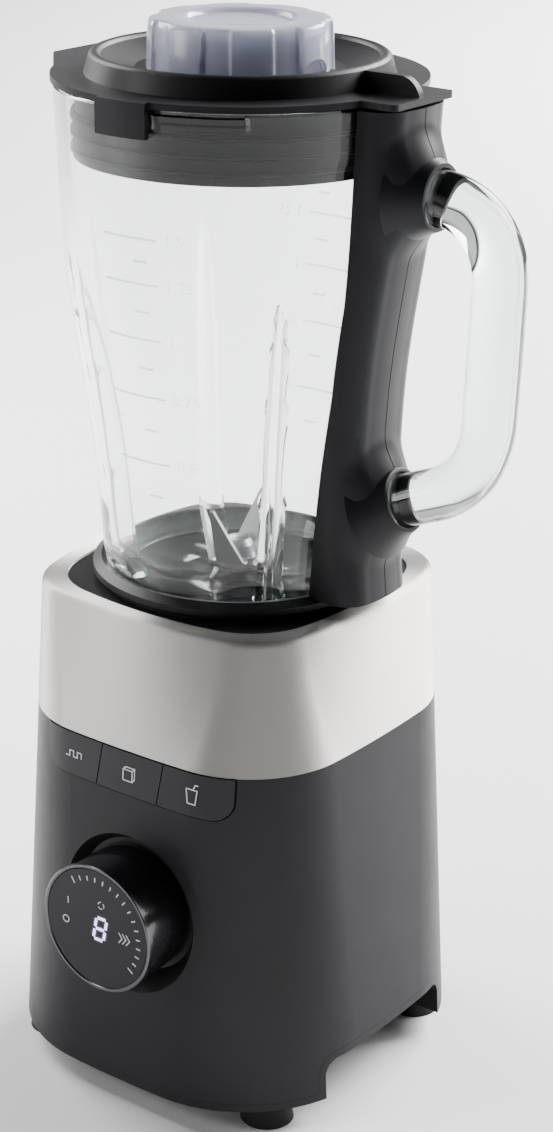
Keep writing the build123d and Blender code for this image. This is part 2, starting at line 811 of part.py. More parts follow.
with BuildPart() as dial_ring:
    with BuildSketch(dial_plane.offset(dial_recess_floor + 0.5)):
        Circle(dial_radius - 0.8)
    extrude(amount=dial_front - dial_recess_floor - 3.0)
    with BuildSketch(dial_plane.offset(dial_front - 2.5)):
        Circle(dial_radius)
    extrude(amount=1.3)
    # hollow behind, hub in the middle
    with BuildSketch(dial_plane.offset(dial_recess_floor)):
        Circle(dial_radius - 3.0)
        Circle(post_radius + 3.4, mode=Mode.SUBTRACT)
    extrude(amount=dial_front - dial_recess_floor - 10.0, mode=Mode.SUBTRACT)
    with BuildSketch(dial_plane.offset(dial_boss_back - 5.5)):
        Circle(post_radius + 3.4)
    extrude(amount=15.0)
    with BuildSketch(dial_plane.offset(dial_boss_back - 10.0)):
        Circle(post_radius + running_gap)
    extrude(amount=60.0, mode=Mode.SUBTRACT)
    # room for the display in the front
    with BuildSketch(dial_plane.offset(dial_front - 6.5)):
        Circle(lens_radius + fit_gap)
    extrude(amount=20.0, mode=Mode.SUBTRACT)

with BuildPart() as dial_trim:
    with BuildSketch(dial_plane.offset(dial_front - 1.2)):
        Circle(dial_radius)
        Circle(lens_radius + fit_gap, mode=Mode.SUBTRACT)
    extrude(amount=1.2)
    chamfer(dial_trim.faces().sort_by(Axis.Y)[0].edges(), 0.3)

with BuildPart() as dial_lens:
    with BuildSketch(dial_plane.offset(dial_front - 2.0)):
        Circle(lens_radius)
    extrude(amount=1.7)

with BuildPart() as display_board:
    with BuildSketch(dial_plane.offset(dial_front - 5.6)):
        Circle(lens_radius - 1.5)
    extrude(amount=1.6)

with BuildPart() as digit_module:
    with BuildSketch(dial_plane.offset(dial_front - 4.0)):
        Rectangle(12.0, 16.0)
    extrude(amount=2.0)

post_back = dial_boss_back - 12.0
with BuildPart() as dial_post:
    with BuildSketch(dial_plane.offset(post_back)):
        Circle(post_radius)
        Circle(post_radius - 3.0, mode=Mode.SUBTRACT)
    extrude(amount=dial_front - 5.6 - post_back)
    with BuildSketch(dial_plane.offset(post_back)):
        Circle(post_radius + 12.0)
        Circle(post_radius - 3.0, mode=Mode.SUBTRACT)
    extrude(amount=2.0)

with BuildPart() as dial_encoder:
    with BuildSketch(dial_plane.offset(post_back + 2.0)):
        Circle(post_radius + 12.0)
        Circle(post_radius + 3.9, mode=Mode.SUBTRACT)
    extrude(amount=dial_boss_back - post_back - 2.0)

# ---------------------------------------------------------------- jug

rib_angles = [rib_turn + 90.0 * number for number in range(4)]
glass_floor_radius = glass_foot_radius - glass_wall
ledge_low = z_brim - 5.9
ledge_high = z_brim - 1.3
ledge_reach = 3.2
ledge_start = -78.0
ledge_sweep = 28.0
tab_start = -97.0
tab_sweep = 17.5


def spout_block(gap):
    """Wedge that leads the pouring lip out of the round jug, to -X."""
    tip = spout_reach - 3.0 + gap
    half = spout_width - 3.0 + gap
    root = glass_brim_radius - 10.0
    with BuildSketch(Plane.XY.offset(z_brim)) as mouth:
        with BuildLine():
            Polyline((-root, -30.0 - gap), (-tip, -half), (-tip, half), (-root, 30.0 + gap), close=True)
        make_face()
        fillet(mouth.vertices().group_by(Axis.X)[0], 5.0)
    with BuildSketch(Plane.XY.offset(z_brim - spout_drop)) as throat:
        with BuildLine():
            low_tip = glass_brim_radius - 2.5 + gap
            Polyline((-root, -12.0 - gap), (-low_tip, -3.0), (-low_tip, 3.0), (-root, 12.0 + gap), close=True)
        make_face()
        fillet(throat.vertices().group_by(Axis.X)[0], 1.5)
    return loft(sections=[mouth.sketch, throat.sketch], ruled=True)


def arc_block(inner, outer, low, high, start, sweep_angle):
    """Part of a ring about the Z axis, from one angle round by another."""
    with BuildPart() as block:
        with BuildSketch(Plane.XZ):
            with Locations(((inner + outer) / 2, (low + high) / 2)):
                Rectangle(outer - inner, high - low)
        revolve(axis=Axis.Z, revolution_arc=sweep_angle)
    return Rot(0, 0, start) * block.part


glass_outer = glass_body()
glass_inner = glass_body(-glass_wall)
glass_core = glass_body(-1.0)
spout_outer = spout_block(0.0)
spout_inner = spout_block(-glass_wall + 1.0)

with BuildPart() as jug_glass:
    add(glass_outer)
    add(spout_outer)
    add(glass_inner, mode=Mode.SUBTRACT)
    add(spout_inner, mode=Mode.SUBTRACT)
    # four ribs that stir the drink, tapering to nothing at their tops
    for angle in rib_angles:
        with BuildPart(mode=Mode.PRIVATE) as rib:
            with BuildSketch(Plane.XZ):
                with BuildLine():
                    rib_foot = (glass_floor_radius - rib_depth, z_glass)
                    rib_middle = (
                        (glass_low_radius + glass_high_radius) / 2 - glass_wall - 0.7 * rib_depth,
                        z_glass + 0.65 * rib_height,
                    )
                    rib_top = (glass_high_radius - glass_wall + 1.2, z_glass + rib_height)
                    Polyline(rib_foot, rib_middle, rib_top, (wide, rib_top[1]), (wide, z_glass), close=True)
                make_face()
            extrude(amount=rib_width / 2, both=True)
            fillet(rib.edges().filter_by(Axis.Y, reverse=True).sort_by(Axis.X)[:4], rib_width / 2 - 0.4)
            add(glass_core, mode=Mode.INTERSECT)
        add(Rot(0, 0, angle) * rib.part)
    add(handle_tube(handle_radius))
    for turn in (0.0, 180.0):
        add(
            arc_block(
                glass_brim_radius - 1.5, glass_brim_radius + ledge_reach, ledge_low, ledge_high,
                ledge_start + turn, ledge_sweep,
            )
        )

with BuildPart() as jug_seal:
    add(ring_part(glass_floor_radius - 0.5, glass_foot_radius, z_carrier, z_glass))

carrier_radius = glass_foot_radius
with BuildPart() as blade_carrier:
    with BuildSketch(Plane.XZ):
        with BuildLine():
            low = z_carrier - carrier_thickness
            Polyline(
                (shaft_radius + 2.5, low - 8.0), (hub_radius, low - 8.0), (hub_radius, low), (carrier_radius, low),
                (carrier_radius, z_carrier), (glass_floor_radius - 2.0, z_carrier), (26.0, z_carrier - 1.5),
                (hub_radius + 1.0, z_carrier), (hub_radius - 2.0, z_carrier + 4.0),
                (shaft_radius + 2.5, z_carrier + 4.0), close=True,
            )
        make_face()
    revolve(axis=Axis.Z)

with BuildPart() as carrier_bush:
    add(
        ring_part(
            shaft_radius + running_gap, shaft_radius + 2.5,
            z_carrier - carrier_thickness - 8.0, z_carrier + 4.0,
        )
    )

ring_top = z_seat + 7.8
ring_wall_inner = glass_foot_radius + fit_gap
with BuildPart() as jug_base_ring:
    with BuildSketch(Plane.XZ):
        with BuildLine():
            flange_low = z_seat + 3.0
            lip = z_carrier - carrier_thickness
            Polyline(
                (52.0, z_well), (ring_body_radius, z_well), (ring_body_radius, flange_low),
                (ring_radius, flange_low), (ring_radius, flange_low + ring_flange),
                (glass_foot_radius + 2.0, ring_top), (ring_wall_inner + 0.25, ring_top),
                (ring_wall_inner, lip), (glass_foot_radius - 8.0, lip),
                (glass_foot_radius - 8.0, lip - 3.5), (52.0, lip - 3.5), close=True,
            )
        make_face()
    revolve(axis=Axis.Z)
    with BuildSketch(Plane.XY.offset(z_well)):
        for angle in key_angles:
            with Locations(Location((0, 0, 0), (0, 0, angle))):
                with Locations((key_radius, 0)):
                    Rectangle(12.0, key_width + 1.0)
    extrude(amount=9.0, mode=Mode.SUBTRACT)
    add(glass_body(fit_gap), mode=Mode.SUBTRACT)

# ---------------------------------------------------------------- spine behind the handle

spine_low = z_seat + 6.2
spine_top = z_flange - 1.0
spine_outer = [
    (glass_brim_radius + 12.4, spine_top),
    (glass_brim_radius + 9.4, handle_high - 8.0),
    (glass_high_radius + 4.2, handle_high - 70.0),
    (glass_low_radius + 11.0, handle_low - 8.0),
    (glass_foot_radius + 16.8, spine_low + 20.0),
    (glass_foot_radius + 18.5, spine_low),
]
collar_length = 22.0


def root_cone(inset):
    """The flared collars that lead the spine into the two handle roots."""
    points = handle_path()
    with BuildPart() as cones:
        with BuildSketch(Plane.YZ.offset(glass_brim_radius)) as wide_end:
            with Locations((0, handle_high)):
                Circle(handle_radius + 10.0 - inset)
        with BuildSketch(Plane.YZ.offset(glass_brim_radius + collar_length)) as narrow_end:
            with Locations((0, handle_high)):
                Circle(handle_radius + 2.6 - inset)
        loft(sections=[wide_end.sketch, narrow_end.sketch])
        low_direction = Vector(points[2][0] - points[3][0], 0, points[2][1] - points[3][1]).normalized()
        low_origin = Vector(points[3][0], 0, points[3][1])
        low_plane = Plane(origin=low_origin, z_dir=low_direction)
        with BuildSketch(low_plane) as low_wide:
            Circle(handle_radius + 9.0 - inset)
        with BuildSketch(low_plane.offset(collar_length + 4.0)) as low_narrow:
            Circle(handle_radius + 2.6 - inset)
        loft(sections=[low_wide.sketch, low_narrow.sketch])
    return cones.part


def spine_solid(inset):
    """Closed shape of the spine; inset above 0 gives the hollow inside it."""
    with BuildPart() as body:
        with BuildSketch(Plane.XZ):
            with BuildLine():
                Spline([(x - inset, z) for x, z in spine_outer])
                first = (spine_outer[0][0] - inset, spine_outer[0][1])
                last = (spine_outer[-1][0] - inset, spine_outer[-1][1])
                Polyline(last, (glass_foot_radius - 8.0, spine_low), (glass_foot_radius - 8.0, spine_top), first)
            make_face()
        extrude(amount=spine_half - inset, both=True)
        outer_edges = body.edges().filter_by(lambda edge: edge.center().X > glass_foot_radius + 2.0)
        fillet(outer_edges.filter_by(lambda edge: edge.length > 100.0), spine_round - inset)
        add(root_cone(inset))
        with Locations((0, 0, spine_low - wide / 2 + inset), (0, 0, spine_top + wide / 2 - inset)):
            Box(4 * wide, wide, wide, mode=Mode.SUBTRACT)
    return body.part


glass_clear = glass_body(fit_gap)
handle_clear = handle_tube(handle_radius + fit_gap)
spine_full = spine_solid(0.0)
spine_hollow = spine_solid(spine_wall)


def spine_half_shell(side):
    with BuildPart() as shell:
        add(spine_full)
        add(spine_hollow, mode=Mode.SUBTRACT)
        # ears that the screws pass through
        with BuildPart(mode=Mode.PRIVATE) as ears:
            with BuildSketch(Plane.XZ):
                with Locations(*spine_screw_places):
                    Circle(3.4)
            extrude(amount=spine_half - 1.0, both=True)
            add(spine_full, mode=Mode.INTERSECT)
        add(ears.part)
        with BuildSketch(Plane.XZ):
            with Locations(*spine_screw_places):
                Circle(1.6)
        extrude(amount=wide, both=True, mode=Mode.SUBTRACT)
        add(glass_clear, mode=Mode.SUBTRACT)
        add(handle_clear, mode=Mode.SUBTRACT)
        with Locations((0, 0, z_well)):
            Cylinder(
                ring_radius + fit_gap, ring_top + fit_gap - z_well,
                align=(Align.CENTER, Align.CENTER, Align.MIN), mode=Mode.SUBTRACT,
            )
        with Locations((0, side * (-wide + 0.1), z_glass)):
            Box(4 * wide, 2 * wide, 4 * wide, mode=Mode.SUBTRACT)
    return shell.part


spine_screw_places = [
    (glass_brim_radius + 5.6, handle_high + 23.0),
    (glass_high_radius + 3.2, handle_high - 47.0),
    (glass_foot_radius + 9.0, spine_low + 14.0),
]
spine_near_shell = spine_half_shell(-1)
spine_far_shell = spine_half_shell(1)

with BuildPart() as spine_screws:
    with BuildSketch(Plane.XZ.offset(-spine_half + 4.0)):
        with Locations(*spine_screw_places):
            Circle(1.5)
    extrude(amount=2 * spine_half - 10.0)

# ---------------------------------------------------------------- blade unit

z_hub = z_carrier + 4.6
driven_low = z_well + 4.0 - coupling_engage


def blade_arm(angle, root, lift, width, bottom, foot):
    """One arm: flat from the hub, then bent up, tapering to a point."""
    steep = radians(blade_bevel_angle)
    bend_plane = Plane(
        origin=(foot, 0, bottom),
        x_dir=(0, 1, 0),
        z_dir=(-sin(steep), 0, cos(steep)),
    )
    with BuildPart() as arm:
        with BuildSketch(Plane.XY.offset(bottom)):
            with Locations(((foot + root) / 2, 0)):
                Rectangle(foot - root + 0.6, width)
        extrude(amount=blade_thickness)
        with BuildSketch(bend_plane):
            with BuildLine():
                Polyline(
                    (-width / 2, 0), (width / 2, 0), (-width / 2 + 2.0, -lift), (-width / 2 + 0.4, -lift), close=True
                )
            make_face()
        extrude(amount=blade_thickness)
    return Rot(0, 0, angle) * arm.part


def blade_pair(first_angle, foot, lift, width, low):
    with BuildPart() as pair:
        add(ring_part(shaft_radius, 8.0, low, low + blade_thickness))
        for turn in (0.0, 180.0):
            add(blade_arm(first_angle + turn, shaft_radius + 2.0, lift, width, low, foot))
    return pair.part


upper_blades = blade_pair(108.0, 9.5, 27.0, 12.0, z_hub + 2.4)
lower_blades = blade_pair(18.0, 10.5, 22.0, 10.5, z_hub)

with BuildPart() as blade_spacer:
    add(ring_part(shaft_radius, 7.0, z_hub + blade_thickness, z_hub + 2.4))
    add(ring_part(shaft_radius, 6.5, z_carrier + 4.1, z_hub))

z_nut = z_hub + 2.4 + blade_thickness
with BuildPart() as blade_nut:
    with BuildSketch(Plane.XY.offset(z_nut)):
        RegularPolygon(7.4, 6)
        Circle(shaft_radius, mode=Mode.SUBTRACT)
    extrude(amount=5.0)
    with BuildSketch(Plane.XZ):
        with BuildLine():
            Polyline((0, z_nut + 5.0), (6.0, z_nut + 5.0), (4.5, z_nut + 7.4), (0, z_nut + 8.0), close=True)
        make_face()
    revolve(axis=Axis.Z)

driven_flange = z_well + 4.0 + 1.5
with BuildPart() as blade_shaft:
    with BuildSketch(Plane.XY.offset(driven_flange)):
        Circle(shaft_radius)
    extrude(amount=z_nut + 5.0 - driven_flange)

with BuildPart() as driven_coupling:
    extrude(dog_star(driven_low, 0.0), amount=driven_flange - driven_low)

# ---------------------------------------------------------------- lid

z_dish = z_lid_top + 1.6
z_skirt = z_flange - skirt_depth
lid_wall = 2.2
tab_radius = glass_brim_radius + fit_gap + 3.0
tab_drop = 10.3
fin_reach = 82.0
plate_reach = glass_brim_radius + 12.8
plate_half = 19.3

with BuildPart() as lid:
    # flange with the cover over the pouring lip and the plate over the spine
    with BuildSketch(Plane.XY.offset(z_flange)) as flange:
        Circle(flange_radius)
        with BuildLine():
            Polyline(
                (-0.62 * flange_radius, -0.78 * flange_radius), (-spout_reach - 2.0, -spout_width),
                (-spout_reach - 2.0, spout_width), (-0.62 * flange_radius, 0.78 * flange_radius), close=True,
            )
        make_face()
        with Locations((plate_reach / 2, 0)):
            Rectangle(plate_reach, 2 * plate_half)
        fillet(flange.vertices().group_by(Axis.X)[0], 5.0)
        fillet(flange.vertices().group_by(Axis.X)[-1], 2.5)
    extrude(amount=flange_thickness)
    # raised ring, dished inside, with the hole for the filler and the skirt below
    with BuildSketch(Plane.XZ):
        with BuildLine():
            crest = z_lid_top + ring_rise
            Polyline(
                (filler_radius, z_flange), (filler_radius, z_dish), (dish_floor_radius, z_dish),
                (ring_crest_radius - 4.5, crest - 1.5),
            )
            ThreePointArc(
                (ring_crest_radius - 4.5, crest - 1.5), (ring_crest_radius - 2.0, crest), (ring_crest_radius, crest - 1.2)
            )
            Polyline(
                (ring_crest_radius, crest - 1.2), (ring_foot_radius, z_lid_top), (ring_foot_radius, z_flange),
                (skirt_radius, z_flange), (skirt_radius, z_skirt), (skirt_radius - lid_wall, z_skirt),
                (skirt_radius - lid_wall, z_flange - 1.0), (filler_radius, z_flange - 1.0), (filler_radius, z_flange),
            )
        make_face()
    revolve(axis=Axis.Z)
    with BuildSketch(Plane.XY.offset(z_flange - 4.0)):
        Circle(filler_radius)
    extrude(amount=40.0, mode=Mode.SUBTRACT)
    # collar that guides the measuring cap
    add(ring_part(filler_radius, filler_radius + lid_wall, z_flange - 11.0, z_flange))
    # hanging tabs beside the ledges of the glass
    for turn in (0.0, 180.0):
        add(
            arc_block(
                glass_brim_radius + fit_gap, tab_radius, z_brim - tab_drop, z_lid_top, tab_start + turn, tab_sweep,
            )
        )
    # upright fin for the thumb, over the spine
    with BuildSketch(Plane.XZ):
        with BuildLine():
            Polyline((ring_foot_radius - 1.5, z_flange), (ring_foot_radius - 1.5, crest - 1.0))
            Line((ring_foot_radius - 1.5, crest - 1.0), (fin_reach - 9.0, crest - 1.0))
            RadiusArc((fin_reach - 9.0, crest - 1.0), (fin_reach, crest - 8.0), 9.0)
            Polyline((fin_reach, crest - 8.0), (fin_reach, z_flange), (ring_foot_radius - 1.5, z_flange))
        make_face()
    extrude(amount=1.5, both=True)

gasket_fins = [z_skirt + 3.0, z_skirt + 9.0, z_skirt + 15.0]
glass_inside_at_skirt = glass_brim_radius - glass_wall - 1.0
with BuildPart() as lid_gasket:
    add(ring_part(skirt_radius, skirt_radius + 0.9, z_skirt + 1.0, z_skirt + 18.0))
    for low in gasket_fins:
        with BuildSketch(Plane.XZ):
            with BuildLine():
                Polyline(
                    (skirt_radius, low), (glass_inside_at_skirt - 0.7, low + 1.2),
                    (glass_inside_at_skirt - 0.7, low + 2.0), (skirt_radius, low + 1.8), close=True,
                )
            make_face()
        revolve(axis=Axis.Z)

# ---------------------------------------------------------------- measuring cap

flute_count = 8
z_cap_low = z_dish
z_cap_top = z_cap_low + cap_height
plug_radius = filler_radius - 0.5

with BuildPart() as measuring_cap:
    with BuildSketch(Plane.XY.offset(z_cap_low)) as cap_outline:
        Circle(cap_radius)
        with PolarLocations(cap_radius + 14.6, flute_count, start_angle=10.0):
            Circle(16.0, mode=Mode.SUBTRACT)
        fillet(cap_outline.vertices(), 1.2)
    extrude(amount=cap_height, taper=2.0)
    fillet(measuring_cap.faces().sort_by(Axis.Z)[-1].edges(), 1.6)
    # shallow round dish on the top
    with BuildSketch(Plane.XY.offset(z_cap_top - 0.8)):
        Circle(20.9)
    extrude(amount=2.0, mode=Mode.SUBTRACT)
    add(ring_part(plug_radius - cap_wall, plug_radius, z_cap_low - cap_plug_depth, z_cap_low))
    # hollow cup
    with BuildSketch(Plane.XY.offset(z_cap_low - cap_plug_depth - 1.0)):
        Circle(plug_radius - cap_wall)
    extrude(amount=cap_height + cap_plug_depth + 1.0 - 0.8 - cap_wall, taper=1.0, mode=Mode.SUBTRACT)
    # arched steam vents through the rim
    with BuildSketch(Plane.YZ):
        with BuildLine():
            Polyline((-8.0, z_cap_low - 0.001), (8.0, z_cap_low - 0.001))
            ThreePointArc((8.0, z_cap_low - 0.001), (0, z_cap_low + 6.5), (-8.0, z_cap_low - 0.001))
        make_face()
    extrude(amount=wide / 2, both=True, mode=Mode.SUBTRACT)

# ---------------------------------------------------------------- write the pieces

pieces = {
    "base_housing": base_housing.part,
    "bottom_cover": bottom_cover.part,
    "suction_feet": suction_feet.part,
    "cover_screws": cover_screws.part,
    "steel_collar": steel_collar.part,
    "seat_plate": seat_plate.part,
    "seat_seal": seat_seal.part,
    "seat_screws": seat_screws.part,
    "interlock_switch": interlock_switch.part,
    "interlock_pin": interlock_pin.part,
    "stator_core": stator_core.part,
    "field_coils": field_coils.part,
    "rotor_core": rotor_core.part,
    "rotor_windings": rotor_windings.part,
    "commutator": commutator.part,
    "cooling_fan": cooling_fan.part,
    "motor_shaft": motor_shaft.part,
    "drive_coupling": drive_coupling.part,
    "motor_top_bracket": motor_top_bracket.part,
    "motor_bottom_bracket": motor_bottom_bracket.part,
    "shaft_bearings": shaft_bearings.part,
    "motor_bolts": motor_bolts.part,
    "rubber_mounts": rubber_mounts.part,
    "mount_screws": mount_screws.part,
    "brush_holders": brush_holders.part,
    "carbon_brushes": carbon_brushes.part,
    "fan_duct": fan_duct.part,
    "control_board": control_board.part,
    "board_components": board_components.part,
    "cord_gland": cord_gland.part,
    "button_board": button_board.part,
    "tact_switches": tact_switches.part,
    "pulse_button": pulse_button,
    "ice_button": ice_button,
    "blend_button": blend_button,
    "dial_ring": dial_ring.part,
    "dial_trim": dial_trim.part,
    "dial_lens": dial_lens.part,
    "display_board": display_board.part,
    "digit_module": digit_module.part,
    "dial_post": dial_post.part,
    "dial_encoder": dial_encoder.part,
    "jug_glass": jug_glass.part,
    "jug_seal": jug_seal.part,
    "blade_carrier": blade_carrier.part,
    "carrier_bush": carrier_bush.part,
    "jug_base_ring": jug_base_ring.part,
    "spine_near_shell": spine_near_shell,
    "spine_far_shell": spine_far_shell,
    "spine_screws": spine_screws.part,
    "blade_shaft": blade_shaft.part,
    "upper_blades": upper_blades,
    "lower_blades": lower_blades,
    "blade_spacer": blade_spacer.part,
    "blade_nut": blade_nut.part,
    "driven_coupling": driven_coupling.part,
    "lid": lid.part,
    "lid_gasket": lid_gasket.part,
    "measuring_cap": measuring_cap.part,
}

os.makedirs("parts", exist_ok=True)
for name, shape in pieces.items():
    shape.label = name
    export_step(shape, f"parts/{name}.step")
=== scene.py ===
import json
from math import atan2, cos, degrees, exp, hypot, pi, radians, sin, sqrt, tan

import bmesh
import bpy
from mathutils import Matrix, Vector


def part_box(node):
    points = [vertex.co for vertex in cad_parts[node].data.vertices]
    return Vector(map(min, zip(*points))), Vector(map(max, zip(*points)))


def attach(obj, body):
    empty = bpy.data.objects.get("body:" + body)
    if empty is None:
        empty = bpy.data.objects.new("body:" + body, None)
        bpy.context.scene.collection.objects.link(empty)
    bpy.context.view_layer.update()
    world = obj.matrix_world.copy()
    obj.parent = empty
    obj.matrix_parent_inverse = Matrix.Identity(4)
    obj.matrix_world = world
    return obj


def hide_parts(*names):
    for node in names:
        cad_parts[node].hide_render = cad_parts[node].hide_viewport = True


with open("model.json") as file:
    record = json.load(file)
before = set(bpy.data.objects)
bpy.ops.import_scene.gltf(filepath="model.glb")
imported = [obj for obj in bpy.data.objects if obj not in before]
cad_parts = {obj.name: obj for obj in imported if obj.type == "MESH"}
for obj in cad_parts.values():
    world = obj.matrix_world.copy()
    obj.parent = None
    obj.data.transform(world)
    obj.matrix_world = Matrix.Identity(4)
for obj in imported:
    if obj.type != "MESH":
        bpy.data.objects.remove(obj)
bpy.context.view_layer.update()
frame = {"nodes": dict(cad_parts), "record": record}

# Countertop blender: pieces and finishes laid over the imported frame.
# Lengths are metres. +Z is up the blade axis, -Y out of the control face, +X to the handle.

MM = 0.001


# ------------------------------------------------------------------ shader sums

class Wire:
    """A socket of a material's node tree, or a number, that can be used in ordinary sums."""

    def __init__(self, tree, socket):
        self.tree = tree
        self.socket = socket

    def _maths(self, operation, *values):
        return self.tree.node("ShaderNodeMath", {"operation": operation}, list(values))

    def __add__(self, other):
        return self._maths("ADD", self, other)

    __radd__ = __add__

    def __sub__(self, other):
        return self._maths("SUBTRACT", self, other)

    def __rsub__(self, other):
        return self._maths("SUBTRACT", other, self)

    def __mul__(self, other):
        return self._maths("MULTIPLY", self, other)

    __rmul__ = __mul__

    def __truediv__(self, other):
        return self._maths("DIVIDE", self, other)


class Finish:
    """One procedural material: its tree, its shader and short ways to add nodes."""

    def __init__(self, name, colour, roughness, metallic=0.0, **shader):
        self.material = bpy.data.materials.new(name)
        self.material.use_nodes = True
        self.tree = self.material.node_tree
        self.tree.nodes.clear()
        self.shader = self.tree.nodes.new("ShaderNodeBsdfPrincipled")
        self.output = self.tree.nodes.new("ShaderNodeOutputMaterial")
        self.tree.links.new(self.shader.outputs["BSDF"], self.output.inputs["Surface"])
        self.set("Base Color", colour)
        self.set("Roughness", roughness)
        self.set("Metallic", metallic)
        for socket, value in shader.items():
            self.set(socket.replace("_", " "), value)

    def put(self, socket, value):
        """Give one node socket a value: a link, a colour or a number."""
        if isinstance(value, Wire):
            self.tree.links.new(value.socket, socket)
        elif isinstance(value, tuple) and len(value) == 3 and socket.type == "RGBA":
            socket.default_value = (*value, 1.0)
        else:
            socket.default_value = value

    def set(self, socket, value):
        self.put(self.shader.inputs[socket], value)

    def node(self, kind, settings, values, output=0):
        """Add any node: its settings first, then what goes into its sockets."""
        made = self.tree.nodes.new(kind)
        for key, value in settings.items():
            if key == "stops":
                self.ramp_stops(made.color_ramp, value)
            else:
                setattr(made, key, value)
        places = values.items() if isinstance(values, dict) else enumerate(values)
        for place, value in places:
            self.put(made.inputs[place], value)
        return Wire(self, made.outputs[output])

    @staticmethod
    def ramp_stops(ramp, stops):
        while len(ramp.elements) < len(stops):
            ramp.elements.new(0.5)
        for element, (place, level) in zip(ramp.elements, stops):
            element.position = place
            element.color = (level, level, level, 1.0)

    def place(self, scale=(1.0, 1.0, 1.0)):
        """Object coordinates, scaled."""
        here = self.node("ShaderNodeTexCoord", {}, [], "Object")
        return self.node("ShaderNodeVectorMath", {"operation": "MULTIPLY"}, [here, scale])

    def axis(self, letter):
        here = self.node("ShaderNodeTexCoord", {}, [], "Object")
        return self.node("ShaderNodeSeparateXYZ", {}, [here], letter)

    def noise(self, scale, stretch=(1.0, 1.0, 1.0), detail=2.0):
        values = {"Vector": self.place(stretch), "Scale": scale, "Detail": detail}
        return self.node("ShaderNodeTexNoise", {}, values, "Fac")

    def ramp(self, value, *stops):
        return self.node("ShaderNodeValToRGB", {"stops": stops}, [value])

    def blend(self, share, first, second):
        """Colour mix of two colours by a share between 0 and 1."""
        values = {"Factor": share, 6: first, 7: second}
        return self.node("ShaderNodeMix", {"data_type": "RGBA"}, values, 2)

    def over(self, share, colour, roughness):
        """Cover the shader with a second, plain one by a share between 0 and 1."""
        below = Wire(self, self.shader.outputs["BSDF"])
        values = {"Base Color": colour, "Roughness": roughness}
        above = self.node("ShaderNodeBsdfPrincipled", {}, values, "BSDF")
        both = self.node("ShaderNodeMixShader", {}, [share, below, above])
        self.put(self.output.inputs["Surface"], both)

    def bump(self, height, strength, distance):
        values = {"Height": height, "Strength": strength, "Distance": distance}
        self.set("Normal", self.node("ShaderNodeBump", {}, values, "Normal"))


# ------------------------------------------------------------------ finishes

def black_plastic():
    finish = Finish("satin_black_plastic", (0.010, 0.010, 0.012), 0.36, Specular_IOR_Level=0.2)
    cloud = finish.noise(18.0, detail=3.0)
    finish.set("Base Color", finish.blend(cloud, (0.008, 0.008, 0.010), (0.012, 0.012, 0.015)))
    finish.set("Roughness", 0.36 + 0.12 * finish.noise(60.0, detail=3.0))
    finish.bump(finish.noise(2600.0, detail=1.0), 0.02, 0.0002)
    return finish.material


def brushed_steel():
    brushing = {"Anisotropic": 0.97, "Anisotropic_Rotation": 0.25}
    finish = Finish("brushed_stainless", (0.60, 0.58, 0.55), 0.3, 1.0, **brushing)
    lines = finish.noise(60.0, stretch=(1.0, 1.0, 90.0), detail=4.0)
    finish.set("Roughness", 0.54 + 0.14 * lines)
    finish.set("Base Color", finish.blend(lines, (0.50, 0.48, 0.455), (0.60, 0.58, 0.555)))
    finish.bump(lines, 0.10, 0.0003)
    return finish.material


def clear_glass():
    finish = Finish("jug_glass", (0.96, 0.99, 0.98), 0.0, IOR=1.42, Transmission_Weight=1.0,
                    Specular_IOR_Level=0.28)
    low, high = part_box("jug_glass")
    rise = (finish.axis("Z") - low[2]) / (10 * MM)
    foot = finish.ramp(rise, (0.0, 1.0), (0.45, 0.9), (0.7, 0.0))
    finish.set("Base Color", finish.blend(foot, (0.975, 0.99, 0.99), (0.72, 0.86, 0.82)))
    finish.over(0.25 * foot, (0.24, 0.34, 0.31), 0.25)
    return finish.material


def handle_glass():
    """The thick glass of the handle, greener than the wall and a little wavy."""
    finish = Finish("handle_glass", (0.87, 0.95, 0.92), 0.0, IOR=1.50, Transmission_Weight=1.0)
    waves = finish.noise(45.0, stretch=(1.0, 1.0, 0.4), detail=1.0)
    finish.set("Base Color", finish.blend(waves, (0.90, 0.97, 0.95), (0.82, 0.91, 0.88)))
    finish.bump(waves, 0.5, 0.004)
    return finish.material


def rippled_floor():
    """The floor of the jug, which mirrors the uneven glass in soft waves."""
    finish = Finish("rippled_floor", (0.012, 0.013, 0.015), 0.14, Specular_IOR_Level=0.35)
    waves = finish.noise(34.0, detail=1.0)
    finish.set("Roughness", 0.10 + 0.10 * waves)
    finish.bump(waves, 0.9, 0.012)
    return finish.material


def smoky_plastic():
    finish = Finish("smoky_cap", (0.84, 0.86, 0.93), 0.08, IOR=1.45, Transmission_Weight=1.0)
    mist = finish.noise(30.0, detail=3.0)
    finish.set("Roughness", 0.05 + 0.12 * mist)
    finish.over(0.32 + 0.20 * mist, (0.72, 0.73, 0.85), 0.22)
    return finish.material


def gloss_black():
    finish = Finish("polished_black", (0.008, 0.008, 0.010), 0.16, Coat_Weight=0.4)
    finish.set("Roughness", 0.12 + 0.10 * finish.noise(90.0))
    return finish.material


def dial_disc():
    finish = Finish("dial_disc", (0.014, 0.014, 0.018), 0.26, Specular_IOR_Level=0.2)
    finish.set("Roughness", 0.30 + 0.08 * finish.noise(70.0))
    return finish.material


def dark_chrome():
    finish = Finish("dark_chrome", (0.11, 0.11, 0.12), 0.24, 1.0)
    finish.set("Roughness", 0.18 + 0.10 * finish.noise(200.0))
    return finish.material


def ground_steel(name, colour, roughness):
    finish = Finish(name, colour, roughness, 1.0)
    lines = finish.noise(300.0, stretch=(1.0, 1.0, 0.05), detail=2.0)
    finish.set("Roughness", roughness + 0.10 * lines)
    finish.bump(lines, 0.01, 0.0002)
    return finish.material


